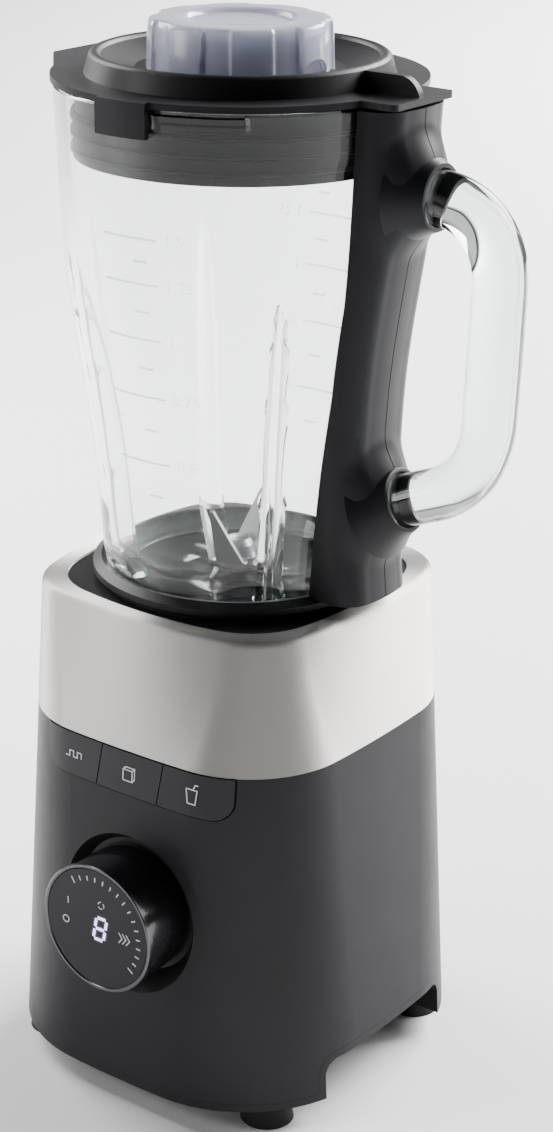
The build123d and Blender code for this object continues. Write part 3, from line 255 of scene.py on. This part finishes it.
def plain(name, colour, roughness, metallic=0.0, grain=400.0, gloss=0.5):
    """A moulded or cast inner finish with a little unevenness."""
    finish = Finish(name, colour, roughness, metallic, Specular_IOR_Level=gloss)
    uneven = finish.noise(grain, detail=2.0)
    darker = tuple(0.8 * part for part in colour)
    finish.set("Base Color", finish.blend(uneven, darker, colour))
    finish.bump(uneven, 0.08, 0.0002)
    return finish.material


slot_finishes = {
    "black_plastic": black_plastic(),
    "seat_black": plain("seat_black", (0.010, 0.010, 0.012), 0.40, gloss=0.25),
    "button_plastic": plain("button_black", (0.012, 0.012, 0.015), 0.36, gloss=0.25),
    "dial_black": gloss_black(),
    "dial_trim": dark_chrome(),
    "dial_face": dial_disc(),
    "brushed_steel": brushed_steel(),
    "blade_steel": ground_steel("blade_steel", (0.66, 0.66, 0.67), 0.26),
    "screw_steel": ground_steel("screw_steel", (0.45, 0.45, 0.46), 0.32),
    "shaft_steel": ground_steel("shaft_steel", (0.50, 0.50, 0.52), 0.25),
    "iron_laminations": plain("iron_laminations", (0.20, 0.20, 0.21), 0.5, 1.0),
    "copper_wire": plain("copper_wire", (0.72, 0.36, 0.18), 0.35, 1.0),
    "bush_bronze": plain("bush_bronze", (0.60, 0.42, 0.22), 0.35, 1.0),
    "bracket_aluminium": plain("bracket_aluminium", (0.62, 0.62, 0.63), 0.42, 1.0),
    "clear_glass": clear_glass(),
    "smoky_plastic": smoky_plastic(),
    "black_rubber": plain("black_rubber", (0.008, 0.008, 0.009), 0.55, gloss=0.25),
    "coupling_nylon": plain("coupling_nylon", (0.05, 0.05, 0.055), 0.45),
    "circuit_board": plain("circuit_board", (0.05, 0.22, 0.10), 0.40),
    "component_plastic": plain("component_plastic", (0.06, 0.06, 0.07), 0.35),
    "brush_carbon": plain("brush_carbon", (0.05, 0.05, 0.05), 0.7),
    "digit_module": plain("digit_module", (0.10, 0.09, 0.14), 0.3),
}

for entry in frame["record"]["subparts"]:
    node = frame["nodes"][entry["node"]]
    node.data.materials.clear()
    node.data.materials.append(slot_finishes[entry["material_slot"]])
frame["nodes"]["blade_carrier"].data.materials[0] = rippled_floor()


# ------------------------------------------------------------------ mesh helpers

def mesh_piece(name, points, faces, finish, body, smooth=True):
    """A mesh object that rides on a body and takes the finish it is given."""
    mesh = bpy.data.meshes.new(name)
    mesh.from_pydata(points, [], faces)
    shape = bmesh.new()
    shape.from_mesh(mesh)
    bmesh.ops.remove_doubles(shape, verts=shape.verts, dist=1e-6)
    bmesh.ops.recalc_face_normals(shape, faces=shape.faces)
    shape.to_mesh(mesh)
    shape.free()
    mesh.materials.append(finish)
    piece = bpy.data.objects.new(name, mesh)
    bpy.context.scene.collection.objects.link(piece)
    if smooth:
        mesh.shade_smooth()
        mesh.set_sharp_from_angle(angle=radians(38))
    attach(piece, body)
    return piece


def loft_faces(rows, columns, closed_rows=False, closed_columns=True):
    """Quads between neighbouring rings of points, ring after ring."""
    faces = []
    for row in range(rows if closed_rows else rows - 1):
        for column in range(columns if closed_columns else columns - 1):
            after = (column + 1) % columns
            above = (row + 1) % rows
            faces.append((
                row * columns + column,
                row * columns + after,
                above * columns + after,
                above * columns + column,
            ))
    return faces


def smoothstep(value, low, high):
    share = min(1.0, max(0.0, (value - low) / (high - low)))
    return share * share * (3 - 2 * share)


def curve_through(points, value):
    """Smooth height-to-radius curve through points."""
    for index in range(len(points) - 1):
        (low, first), (high, second) = points[index], points[index + 1]
        if value <= high or index == len(points) - 2:
            break
    before = points[max(index - 1, 0)]
    after = points[min(index + 2, len(points) - 1)]
    slope_in = (second - before[1]) / (high - before[0])
    slope_out = (after[1] - first) / (after[0] - low)
    span = high - low
    t = (value - low) / span
    return (
        (2 * t**3 - 3 * t**2 + 1) * first
        + (t**3 - 2 * t**2 + t) * span * slope_in
        + (3 * t**2 - 2 * t**3) * second
        + (t**3 - t**2) * span * slope_out
    )


def polar(radius, angle, height):
    return (radius * cos(angle), radius * sin(angle), height)


# ------------------------------------------------------------------ jug glass

glass_low, glass_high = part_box("jug_glass")
z_foot = glass_low[2]
z_brim = glass_high[2]
glass_wall = 4.6 * MM
rib_top = z_foot + 132 * MM
glass_outline = [
    (z_foot, 53.4 * MM),
    (z_foot + 55.5 * MM, 57.9 * MM),
    (z_foot + 124.9 * MM, 67.0 * MM),
    (z_brim, 70.9 * MM),
]
spout_reach = -glass_low[0]


def glass_radius(height):
    return curve_through(glass_outline, height)


def spout_radius(angle):
    """Distance from the axis to the outline of the pouring lip, in a direction."""
    off = abs(atan2(sin(angle - pi), cos(angle - pi)))
    tip = spout_reach
    half = 12 * MM
    root = 58 * MM
    wide = 31 * MM
    if off > radians(40):
        return 0.0
    if tan(off) * tip < half:
        return tip / cos(off)
    across = wide - half
    along = tip - root
    return (half * along + tip * across) / (sin(off) * along + cos(off) * across)


def wall_radius(angle, height, inset=0.0):
    """Radius of the glass with its pouring lip."""
    plain_radius = glass_radius(height)
    lip = max(0.0, spout_radius(angle) - plain_radius)
    return plain_radius + lip * smoothstep(height, z_brim - 36 * MM, z_brim + 4 * MM) - inset


def rib_push(angle, height):
    """How far a rib stands into the jug at a point of the inner wall."""
    if height > rib_top:
        return 0.0
    rise = (height - z_foot) / (rib_top - z_foot)
    depth = 8 * MM * (1 - rise**5)
    half = 4.6 * MM * sqrt(max(0.0, 1 - rise**3)) + 3.0 * MM * exp(-(height - z_foot) / (9 * MM))
    if half < 0.1 * MM:
        return 0.0
    quarter = pi / 2
    off = (angle - radians(51.5) + quarter / 2) % quarter - quarter / 2
    across = abs(off) * glass_radius(height) / half
    return depth * sqrt(max(0.0, 1 - across**2)) if across < 1 else 0.0


def ledge_push(angle, height):
    """The two outer ledges under the brim that hold the lid."""
    if not z_brim - 6.1 * MM < height < z_brim - 1.2 * MM:
        return 0.0
    turn = degrees(angle) % 180
    return 3.2 * MM * smoothstep(turn, 101, 102.5) * (1 - smoothstep(turn, 129, 130.5))


def jug_glass():
    columns = 360
    heights = [z_foot + share * (z_brim - z_foot) / 76 for share in range(1, 76)]
    heights += [z_brim - gap * MM for gap in (6.2, 6.0, 1.3, 1.1)]
    heights = sorted(height for height in heights if height < z_brim - 0.9 * MM)
    points = []
    for column in range(columns):
        angle = 2 * pi * column / columns
        ring = [polar(glass_radius(z_foot) - 7.5 * MM - rib_push(angle, z_foot), angle, z_foot)]
        ring.append(polar(glass_radius(z_foot) - 1.2 * MM, angle, z_foot))
        ring.append(polar(glass_radius(z_foot) - 0.3 * MM, angle, z_foot + 0.4 * MM))
        for height in heights:
            ring.append(polar(wall_radius(angle, height) + ledge_push(angle, height), angle, height))
        ring.append(polar(wall_radius(angle, z_brim) - 0.6 * MM, angle, z_brim - 0.2 * MM))
        ring.append(polar(wall_radius(angle, z_brim) - 1.4 * MM, angle, z_brim))
        ring.append(polar(wall_radius(angle, z_brim) - 3.4 * MM, angle, z_brim))
        ring.append(polar(wall_radius(angle, z_brim) - 4.2 * MM, angle, z_brim - 0.3 * MM))
        for height in reversed(heights):
            wall = glass_wall + 3.4 * MM * exp(-(height - z_foot) / (7 * MM))
            ring.append(polar(wall_radius(angle, height, wall) - rib_push(angle, height), angle, height))
        points += ring
    rows = len(points) // columns
    faces = loft_faces(columns, rows, closed_rows=True)
    piece = mesh_piece("jug_wall", points, faces, slot_finishes["clear_glass"], "jug")
    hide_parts("jug_glass")


def rounded_path(corners, radii, step):
    """Points along a polyline whose inner corners are rounded by arcs."""
    path = [Vector(corners[0])]
    for corner, before, after, radius in zip(corners[1:-1], corners, corners[2:], radii):
        middle = Vector(corner)
        back = (Vector(before) - middle).normalized()
        ahead = (Vector(after) - middle).normalized()
        half = back.angle(ahead) / 2
        reach = radius / tan(half)
        centre = middle + (back + ahead).normalized() * radius / sin(half)
        start = middle + back * reach - centre
        end = middle + ahead * reach - centre
        count = max(3, int(radius * start.angle(end) / step))
        for number in range(count + 1):
            path.append(centre + radius * start.normalized().slerp(end.normalized(), number / count))
    path.append(Vector(corners[-1]))
    return path


def jug_handle():
    """Solid glass loop, a little flattened, that starts and ends inside the spine's collars."""
    corners = [
        (72 * MM, 0, 376 * MM), (119.5 * MM, 0, 376 * MM),
        (115 * MM, 0, 270.8 * MM), (60 * MM, 0, 249.3 * MM),
    ]
    route = rounded_path(corners, (27 * MM, 36 * MM), 2.5 * MM)
    columns = 40
    points = []
    for number, place in enumerate(route):
        before = route[max(number - 1, 0)]
        after = route[min(number + 1, len(route) - 1)]
        along = (after - before).normalized()
        side = Vector((0, 1, 0))
        out = along.cross(side)
        for column in range(columns):
            turn = 2 * pi * column / columns
            points.append(place + side * 10.5 * MM * cos(turn) + out * 10.3 * MM * sin(turn))
    faces = loft_faces(len(route), columns)
    faces.append(tuple(range(columns)))
    faces.append(tuple((len(route) - 1) * columns + column for column in range(columns)))
    mesh_piece("jug_handle", points, faces, handle_glass(), "jug")


# ------------------------------------------------------------------ spine

spine_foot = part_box("spine_near_shell")[0][2]
spine_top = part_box("spine_near_shell")[1][2]
spine_half = 20.5 * MM
spine_outline = [
    (spine_foot, 71.9 * MM), (spine_foot + 20 * MM, 70.2 * MM), (262.8 * MM, 68.9 * MM),
    (306 * MM, 71.2 * MM), (368 * MM, 80.3 * MM), (spine_top, 83.3 * MM),
]


def collar_push(side, height):
    """How far the spine swells towards a handle root, near that root."""
    push = 0.0
    for root, reach in ((376 * MM, 7 * MM), (253.8 * MM, 7 * MM)):
        away = hypot(side, height - root)
        push = max(push, reach * (1 - smoothstep(away, 9 * MM, 27 * MM)))
    return push


def spine_collar(name, centre, slope):
    """Trumpet-shaped end of the spine that holds a root of the handle."""
    profile = [
        (-13, 21), (-10, 18.2), (-7, 16), (-4.5, 14.5), (-2.5, 13.5), (-1, 12.9),
        (-0.2, 12.5), (0, 12), (0, 11), (-0.4, 10.7), (-9, 10.7),
    ]
    along = Vector((cos(slope), 0, sin(slope)))
    out = Vector((-sin(slope), 0, cos(slope)))
    columns = 56
    points = []
    for reach, radius in profile:
        for column in range(columns):
            turn = 2 * pi * column / columns
            spoke = Vector((0, cos(turn), 0)) + out * sin(turn)
            points.append(centre + along * reach * MM + spoke * radius * MM)
    faces = loft_faces(len(profile), columns)
    mesh_piece(name, points, faces, slot_finishes["black_plastic"], "jug")


def spine_section(side, height):
    """Closed outline of one half of the spine at a height: from the glass round to the seam."""
    outer = curve_through(spine_outline, height)
    bend = 11 * MM
    against = glass_radius(height) + 0.5 * MM
    seam = 0.22 * MM
    outline = []
    for number in range(7):
        y = seam + (spine_half - seam) * number / 6
        outline.append((sqrt(against**2 - y**2), y))
    inner = outline[-1][0]
    for number in range(1, 5):
        outline.append((inner + (outer - bend - inner) * number / 4, spine_half))
    for number in range(1, 13):
        turn = pi / 2 * number / 12
        y = spine_half - bend + bend * cos(turn)
        outline.append((outer - bend + bend * sin(turn), y))
    for number in range(1, 9):
        y = (spine_half - bend) * (1 - number / 8) + seam * number / 8
        outline.append((outer + 0.8 * MM * (1 - (y / (spine_half - bend))**2), y))
    closing = outline[-1][0]
    outline.append((closing - 1.2 * MM, seam))
    shaped = []
    for number, (x, y) in enumerate(outline):
        if 7 <= number:
            share = smoothstep(x, inner, outer - 2 * MM)
            x += collar_push(y, height) * share
        shaped.append((x, side * y, height))
    return shaped


def spine_half_cover(name, side, node):
    count = 150
    heights = [spine_foot + (spine_top - spine_foot) * number / count for number in range(count + 1)]
    points = []
    for height in heights:
        points += spine_section(side, height)
    columns = len(points) // len(heights)
    faces = loft_faces(len(heights), columns)
    faces.append(tuple(range(columns)))
    faces.append(tuple((len(heights) - 1) * columns + column for column in range(columns)))
    piece = mesh_piece(name, points, faces, slot_finishes["black_plastic"], "jug")
    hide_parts(node)


# ------------------------------------------------------------------ measuring cap

cap_low, cap_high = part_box("measuring_cap")
cap_top = cap_high[2]
cap_radius = cap_high[1]
cap_skirt = cap_top - 18.9 * MM


def flute(angle):
    """Depth of the eight recesses between the grips of the cap."""
    turn = degrees(angle) % 45
    return 1.5 * MM * smoothstep(turn, 12, 14.5) * (1 - smoothstep(turn, 30.5, 33))


def vent_rise(angle):
    """Arched notch in the lower edge of the cap, over the spout and over the handle."""
    half = 8 * MM
    tall = 6.6 * MM
    across = cap_radius * sin(angle)
    if abs(across) > half:
        return 0.0
    return tall * sqrt(1 - (across / half)**2)


def cap_shell():
    rim = cap_top - cap_skirt
    outside = [
        (1.0, 0.0), (0.998, 0.06), (0.992, 0.35), (0.985, 0.65), (0.978, 0.86),
        (0.970, 0.925), (0.955, 0.965), (0.925, 0.99), (0.88, 1.0), (0.80, 1.0),
        (0.64, 1.0), (0.60, 0.985), (0.58, 0.95), (0.56, 0.905), (0.52, 0.89), (0.0, 0.88),
    ]
    inside = [
        (0.0, 0.78), (0.52, 0.79), (0.60, 0.82), (0.66, 0.88), (0.86, 0.885),
        (0.905, 0.86), (0.92, 0.80), (0.93, 0.35), (0.942, 0.06), (0.944, 0.0),
    ]
    columns = 288
    points = []
    for column in range(columns):
        angle = 2 * pi * column / columns
        for radius, height in outside + inside:
            spread = radius * cap_radius - flute(angle) * smoothstep(radius, 0.70, 0.90)
            lift = vent_rise(angle) * (1 - height) if radius > 0.93 else 0.0
            points.append(polar(spread, angle, cap_skirt + height * rim + lift))
    rows = len(outside) + len(inside)
    faces = loft_faces(columns, rows, closed_rows=True)
    piece = mesh_piece("cap_shell", points, faces, slot_finishes["smoky_plastic"], "cap")
    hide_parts("measuring_cap")


def cap_plug():
    """The inner cup that closes the filler hole."""
    low = cap_low[2]
    outer = 33.0 * MM - 1.7 * MM
    top = cap_top - 4.4 * MM
    profile = [
        (outer, low + 0.5 * MM), (outer, top), (outer - 1.0 * MM, top + 0.3 * MM), (outer - 1.8 * MM, top),
        (outer - 1.8 * MM, low + 0.5 * MM), (outer - 1.4 * MM, low), (outer - 0.5 * MM, low),
    ]
    columns = 128
    points = []
    for radius, height in profile:
        points += [polar(radius, 2 * pi * column / columns, height) for column in range(columns)]
    faces = loft_faces(len(profile), columns, closed_rows=True)
    mesh_piece("cap_plug", points, faces, slot_finishes["smoky_plastic"], "cap")


# ------------------------------------------------------------------ printed and lit marks

def ribbon(points, width):
    """Left and right edges of a flat line of even width along points in a plane."""
    left = []
    right = []
    for number, point in enumerate(points):
        before = Vector(points[max(number - 1, 0)])
        after = Vector(points[min(number + 1, len(points) - 1)])
        here = Vector(point)
        ahead = (after - here) if number < len(points) - 1 else (here - before)
        behind = (here - before) if number > 0 else (after - here)
        bisector = (ahead.normalized() + behind.normalized()).normalized()
        normal = Vector((-bisector.y, bisector.x))
        stretch = 1 / max(0.4, bisector.dot(ahead.normalized()))
        left.append(here + normal * width / 2 * stretch)
        right.append(here - normal * width / 2 * stretch)
    return left, right


def stroke_piece(name, strokes, width, thickness, place, finish, body):
    """Thin raised lines: place turns (across, up, out) into a point of the frame."""
    points = []
    faces = []
    for stroke in strokes:
        left, right = ribbon(stroke, width)
        start = len(points)
        count = len(stroke)
        for level in (0.0, thickness):
            points += [place(edge.x, edge.y, level) for edge in left + right]
        for layer in (0, 2 * count):
            for number in range(count - 1):
                corner = start + layer + number
                faces.append((corner, corner + 1, corner + count + 1, corner + count))
        rim = list(range(start, start + count)) + list(range(start + 2 * count - 1, start + count - 1, -1))
        for first, second in zip(rim, rim[1:] + rim[:1]):
            faces.append((first, second, second + 2 * count, first + 2 * count))
    return mesh_piece(name, points, faces, finish, body, smooth=False)


def circle_stroke(across, up, radius, start=0.0, end=360.0, steps=24):
    turns = [radians(start + (end - start) * number / steps) for number in range(steps + 1)]
    return [(across + radius * cos(turn), up + radius * sin(turn)) for turn in turns]


def white_print():
    finish = Finish("white_print", (0.62, 0.62, 0.64), 0.5)
    finish.set("Base Color", finish.blend(finish.noise(900.0), (0.50, 0.50, 0.52), (0.68, 0.68, 0.70)))
    return finish.material


def lit_segment():
    finish = Finish("lit_segment", (0.70, 0.62, 0.90), 0.4, Emission_Strength=2.6)
    glow = finish.noise(700.0)
    finish.set("Emission Color", finish.blend(glow, (0.62, 0.50, 1.0), (0.80, 0.72, 1.0)))
    return finish.material


def segment_glow():
    """Faint violet halo of the digit on the display window."""
    finish = Finish("segment_glow", (0.05, 0.045, 0.065), 0.34, Emission_Strength=0.16)
    finish.set("Emission Color", finish.blend(finish.noise(500.0), (0.22, 0.12, 0.50), (0.30, 0.18, 0.60)))
    return finish.material


dial_low, dial_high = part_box("dial_lens")
dial_across = (dial_low[0] + dial_high[0]) / 2
dial_up = (dial_low[2] + dial_high[2]) / 2
dial_face = dial_low[1]


def on_dial(across, up, out):
    return (dial_across + across, dial_face - out, dial_up + up)


def dial_marks():
    strokes = []
    for number in range(16):
        turn = radians(123 - 160 * number / 15)
        length = 3.0 * MM if number in (0, 15) else 2.0 * MM
        inner = 21.5 * MM - length / 2
        outer = 21.5 * MM + length / 2
        strokes.append([(inner * cos(turn), inner * sin(turn)), (outer * cos(turn), outer * sin(turn))])
    stroke_piece("dial_ticks", strokes, 0.5 * MM, 0.12 * MM, on_dial, print_finish, "base")


def dial_signs():
    """Generic signs: on, off, more speed and a small rotor over the digit."""
    on_stroke = [(-14.6 * MM, 6.6 * MM), (-14.6 * MM, 9.6 * MM)]
    off_stroke = circle_stroke(-15.9 * MM, -0.9 * MM, 1.5 * MM)
    strokes = [on_stroke, off_stroke]
    for number in range(3):
        left = (11.5 + 1.9 * number) * MM
        strokes.append([(left, 2.3 * MM), (left + 1.8 * MM, 0), (left, -2.3 * MM)])
    for number in range(3):
        turn = 90 + 120 * number
        strokes.append(circle_stroke(2.6 * MM, 11.1 * MM, 1.5 * MM, turn, turn + 78, 8))
    stroke_piece("dial_signs", strokes, 0.42 * MM, 0.12 * MM, on_dial, print_finish, "base")


def digit_strokes(across, up, width, height, slant):
    """The seven segments of a lit eight."""
    def at(x, y):
        return (across + x * width / 2 + y * height / 2 * tan(slant), up + y * height / 2)
    gap = 0.16
    level = [[at(-1 + gap * 1.4, y), at(1 - gap * 1.4, y)] for y in (1, 0, -1)]
    upright = [[at(x, y + gap / 1.2), at(x, y + 1 - gap / 1.2)] for x in (-1, 1) for y in (0, -1)]
    return level + upright


def dial_digit():
    strokes = digit_strokes(1.9 * MM, 0.3 * MM, 5.2 * MM, 9.8 * MM, radians(11))
    stroke_piece("display_digit", strokes, 1.15 * MM, 0.14 * MM, on_dial, lit_finish, "base")
    stroke_piece("display_glow", strokes, 2.5 * MM, 0.05 * MM, on_dial, glow_finish, "base")


seam_height = 12.8 * MM
collar_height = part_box("steel_collar")[0][2]


def front_depth(x, z):
    """The front face of the base, as the y of its surface, from how it bows and leans."""
    share = (z - seam_height) / (collar_height - seam_height)
    half = 81.7 * MM + (71.7 - 81.7) * MM * share
    bulge = 650 * MM + (535 - 650) * MM * share
    return -(half - bulge + sqrt(bulge**2 - x**2))


def on_front(node):
    low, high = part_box(node)
    middle = ((low[0] + high[0]) / 2, (low[2] + high[2]) / 2)

    def place(across, up, out):
        x = middle[0] + across
        z = middle[1] + up
        return (x, front_depth(x, z) - 0.42 * MM - out, z)
    return place


def sign_piece(name, strokes, node, body):
    place = on_front(node)
    stroke_piece(name, strokes, 0.45 * MM, 0.1 * MM, place, print_finish, body)


def key_signs():
    """A short pulse, a cube of ice and a cup, one on each key."""
    pulse = [(-6, 0), (-3, 0), (-3, 3), (0, 3), (0, 0), (3, 0), (3, 3), (6, 3), (6, 0)]
    pulse = [(x * MM * 0.7, (y - 1.5) * MM * 0.8) for x, y in pulse]
    sign_piece("pulse_sign", [pulse], "pulse_button", "pulse_key")
    edge = 2.3 * MM
    lift = 1.2 * MM
    square = [(-edge, -edge), (edge, -edge), (edge, edge), (-edge, edge), (-edge, -edge)]
    top = [(-edge, edge), (-edge + lift, edge + lift), (edge + lift, edge + lift), (edge, edge)]
    side = [(edge + lift, edge + lift), (edge + lift, -edge + lift), (edge, -edge)]
    ice = [[(x - lift / 2, y - lift / 2) for x, y in line] for line in (square, top, side)]
    sign_piece("ice_sign", ice, "ice_button", "ice_key")
    cup = [(-2.6, 3.0), (-1.8, -3.0), (1.8, -3.0), (2.6, 3.0), (-2.6, 3.0)]
    straw = [(0.6, 3.0), (1.6, 5.2), (3.0, 5.2)]
    drink = [[(x * MM, (y - 0.6) * MM) for x, y in line] for line in (cup, straw)]
    sign_piece("drink_sign", drink, "blend_button", "blend_key")


# ------------------------------------------------------------------ litre scale

litre_heights = [("0.5", 271.7), ("0.75", 298.9), ("1", 322.1), ("1.25", 343.6), ("1.5", 360.8)]


def on_glass(turn):
    """Place on the outer wall: across is the arc to the right, up is height above the floor."""
    def place(across, up, out):
        radius = glass_radius(up)
        angle = turn + across / radius
        return polar(radius + out, angle, up)
    return place


def text_shape(text, size):
    """Outline faces of a generic number, from the built-in typeface."""
    curve = bpy.data.curves.new("number", "FONT")
    curve.body = text
    curve.size = size
    curve.align_y = "CENTER"
    curve.resolution_u = 2
    holder = bpy.data.objects.new("number", curve)
    bpy.context.scene.collection.objects.link(holder)
    shape = holder.evaluated_get(bpy.context.evaluated_depsgraph_get()).to_mesh()
    points = [tuple(vertex.co) for vertex in shape.vertices]
    faces = [tuple(face.vertices) for face in shape.polygons]
    bpy.data.objects.remove(holder)
    bpy.data.curves.remove(curve)
    return points, faces


def scale_numbers(name, turn):
    place = on_glass(turn)
    points = []
    faces = []
    for text, height in litre_heights:
        flat, parts = text_shape(text, 6.6 * MM)
        start = len(points)
        points += [place(3.0 * MM + x, height * MM + y, 0.18 * MM) for x, y, _ in flat]
        faces += [tuple(start + corner for corner in part) for part in parts]
    mesh_piece(name, points, faces, mark_finish, "jug", smooth=False)


def scale_lines(name, turn):
    strokes = []
    for _, height in litre_heights:
        strokes.append([(x * MM, height * MM) for x in range(-24, 1, 4)])
    levels = [height for _, height in litre_heights]
    for low, high in zip([244.0] + levels, levels):
        strokes.append([(x * MM, (low + high) / 2 * MM) for x in (-10, -7, -4)])
    stroke_piece(name, strokes, 0.8 * MM, 0.35 * MM, on_glass(turn), mark_finish, "jug")


def frosted_mark():
    finish = Finish("frosted_mark", (0.86, 0.90, 0.90), 0.45, IOR=1.3, Transmission_Weight=0.55, Alpha=0.5)
    finish.set("Roughness", 0.40 + 0.2 * finish.noise(500.0))
    return finish.material


print_finish = white_print()
lit_finish = lit_segment()
glow_finish = segment_glow()
mark_finish = frosted_mark()

jug_glass()
jug_handle()
spine_half_cover("spine_near_cover", -1, "spine_near_shell")
spine_half_cover("spine_far_cover", 1, "spine_far_shell")
spine_collar("spine_upper_collar", Vector((92 * MM, 0, 376 * MM)), 0.0)
spine_collar("spine_lower_collar", Vector((80.5 * MM, 0, 257.4 * MM)), radians(21.3))
cap_shell()
cap_plug()
dial_marks()
dial_signs()
dial_digit()
key_signs()
front_scale = radians(-78.5)
back_scale = radians(101.5)
scale_lines("scale_lines_front", front_scale)
scale_numbers("scale_numbers_front", front_scale)
scale_lines("scale_lines_back", back_scale)
scale_numbers("scale_numbers_back", back_scale)


# ------------------------------------------------------------------ stage, lights and camera

def stage_floor():
    size = 16.0
    mesh = bpy.data.meshes.new("counter")
    corners = [(-size, -size, 0), (size, -size, 0), (size, size, 0), (-size, size, 0)]
    mesh.from_pydata(corners, [], [(0, 1, 2, 3)])
    floor = bpy.data.objects.new("counter", mesh)
    bpy.context.scene.collection.objects.link(floor)
    finish = Finish("counter_white", (0.93, 0.93, 0.93), 0.8, Specular_IOR_Level=0.2)
    mesh.materials.append(finish.material)


def soft_light(name, place, target, width, height, power):
    light = bpy.data.lights.new(name, "AREA")
    light.shape = "RECTANGLE"
    light.size = width
    light.size_y = height
    light.energy = power
    lamp = bpy.data.objects.new(name, light)
    lamp.location = place
    lamp.rotation_euler = (Vector(target) - Vector(place)).to_track_quat("-Z", "Y").to_euler()
    bpy.context.scene.collection.objects.link(lamp)


def sky(level):
    """Studio walls: bright low down behind and beside the counter, dark in front and overhead."""
    world = bpy.data.worlds.new("studio")
    world.use_nodes = True
    nodes = world.node_tree.nodes
    links = world.node_tree.links
    where = nodes.new("ShaderNodeTexCoord")
    both = nodes.new("ShaderNodeMath")
    both.operation = "MULTIPLY"
    for slot, (direction, bright, dark) in enumerate(studio_walls):
        facing = nodes.new("ShaderNodeVectorMath")
        facing.operation = "DOT_PRODUCT"
        facing.inputs[1].default_value = direction
        fade = nodes.new("ShaderNodeMapRange")
        fade.inputs["From Min"].default_value = bright
        fade.inputs["From Max"].default_value = dark
        fade.inputs["To Min"].default_value = 1.0
        fade.inputs["To Max"].default_value = 0.0
        links.new(where.outputs["Generated"], facing.inputs[0])
        links.new(facing.outputs["Value"], fade.inputs["Value"])
        links.new(fade.outputs["Result"], both.inputs[slot])
    background = nodes["Background"]
    background.inputs["Strength"].default_value = level
    links.new(both.outputs["Value"], background.inputs["Color"])
    bpy.context.scene.world = world


def camera():
    heading = radians(36.61)
    down = radians(21.53)
    roll = radians(0.61)
    place = Vector((0.5611, -0.7291, 0.5737))
    lens = bpy.data.cameras.new("camera")
    lens.lens = 77.28
    lens.sensor_width = 36.0
    lens.sensor_fit = "AUTO"
    lens.clip_start = 0.05
    body = bpy.data.objects.new("camera", lens)
    turn = Matrix.Rotation(heading, 4, "Z") @ Matrix.Rotation(pi / 2 - down, 4, "X")
    turn = turn @ Matrix.Rotation(roll, 4, "Z")
    body.matrix_world = Matrix.Translation(place) @ turn
    bpy.context.scene.collection.objects.link(body)
    bpy.context.scene.camera = body


studio_walls = [((0.95, -0.30, 0.0), -0.05, 0.62), ((0.0, 0.0, 1.0), 0.22, 0.50)]

stage_floor()
sky(0.9)
soft_light("left_softbox", (-1.0, 0.1, 0.75), (-0.45, 0.1, 0.0), 0.6, 0.9, 20)
soft_light("front_softbox", (-1.1, -1.2, 0.8), (0.0, 0.0, 0.2), 0.5, 1.2, 14)
soft_light("right_softbox", (0.75, 0.75, 0.7), (0.3, 0.45, 0.0), 0.6, 0.9, 7)
soft_light("back_softbox", (0.3, 2.9, 1.8), (-0.5, 1.8, 0.0), 3.0, 1.6, 500)
camera()
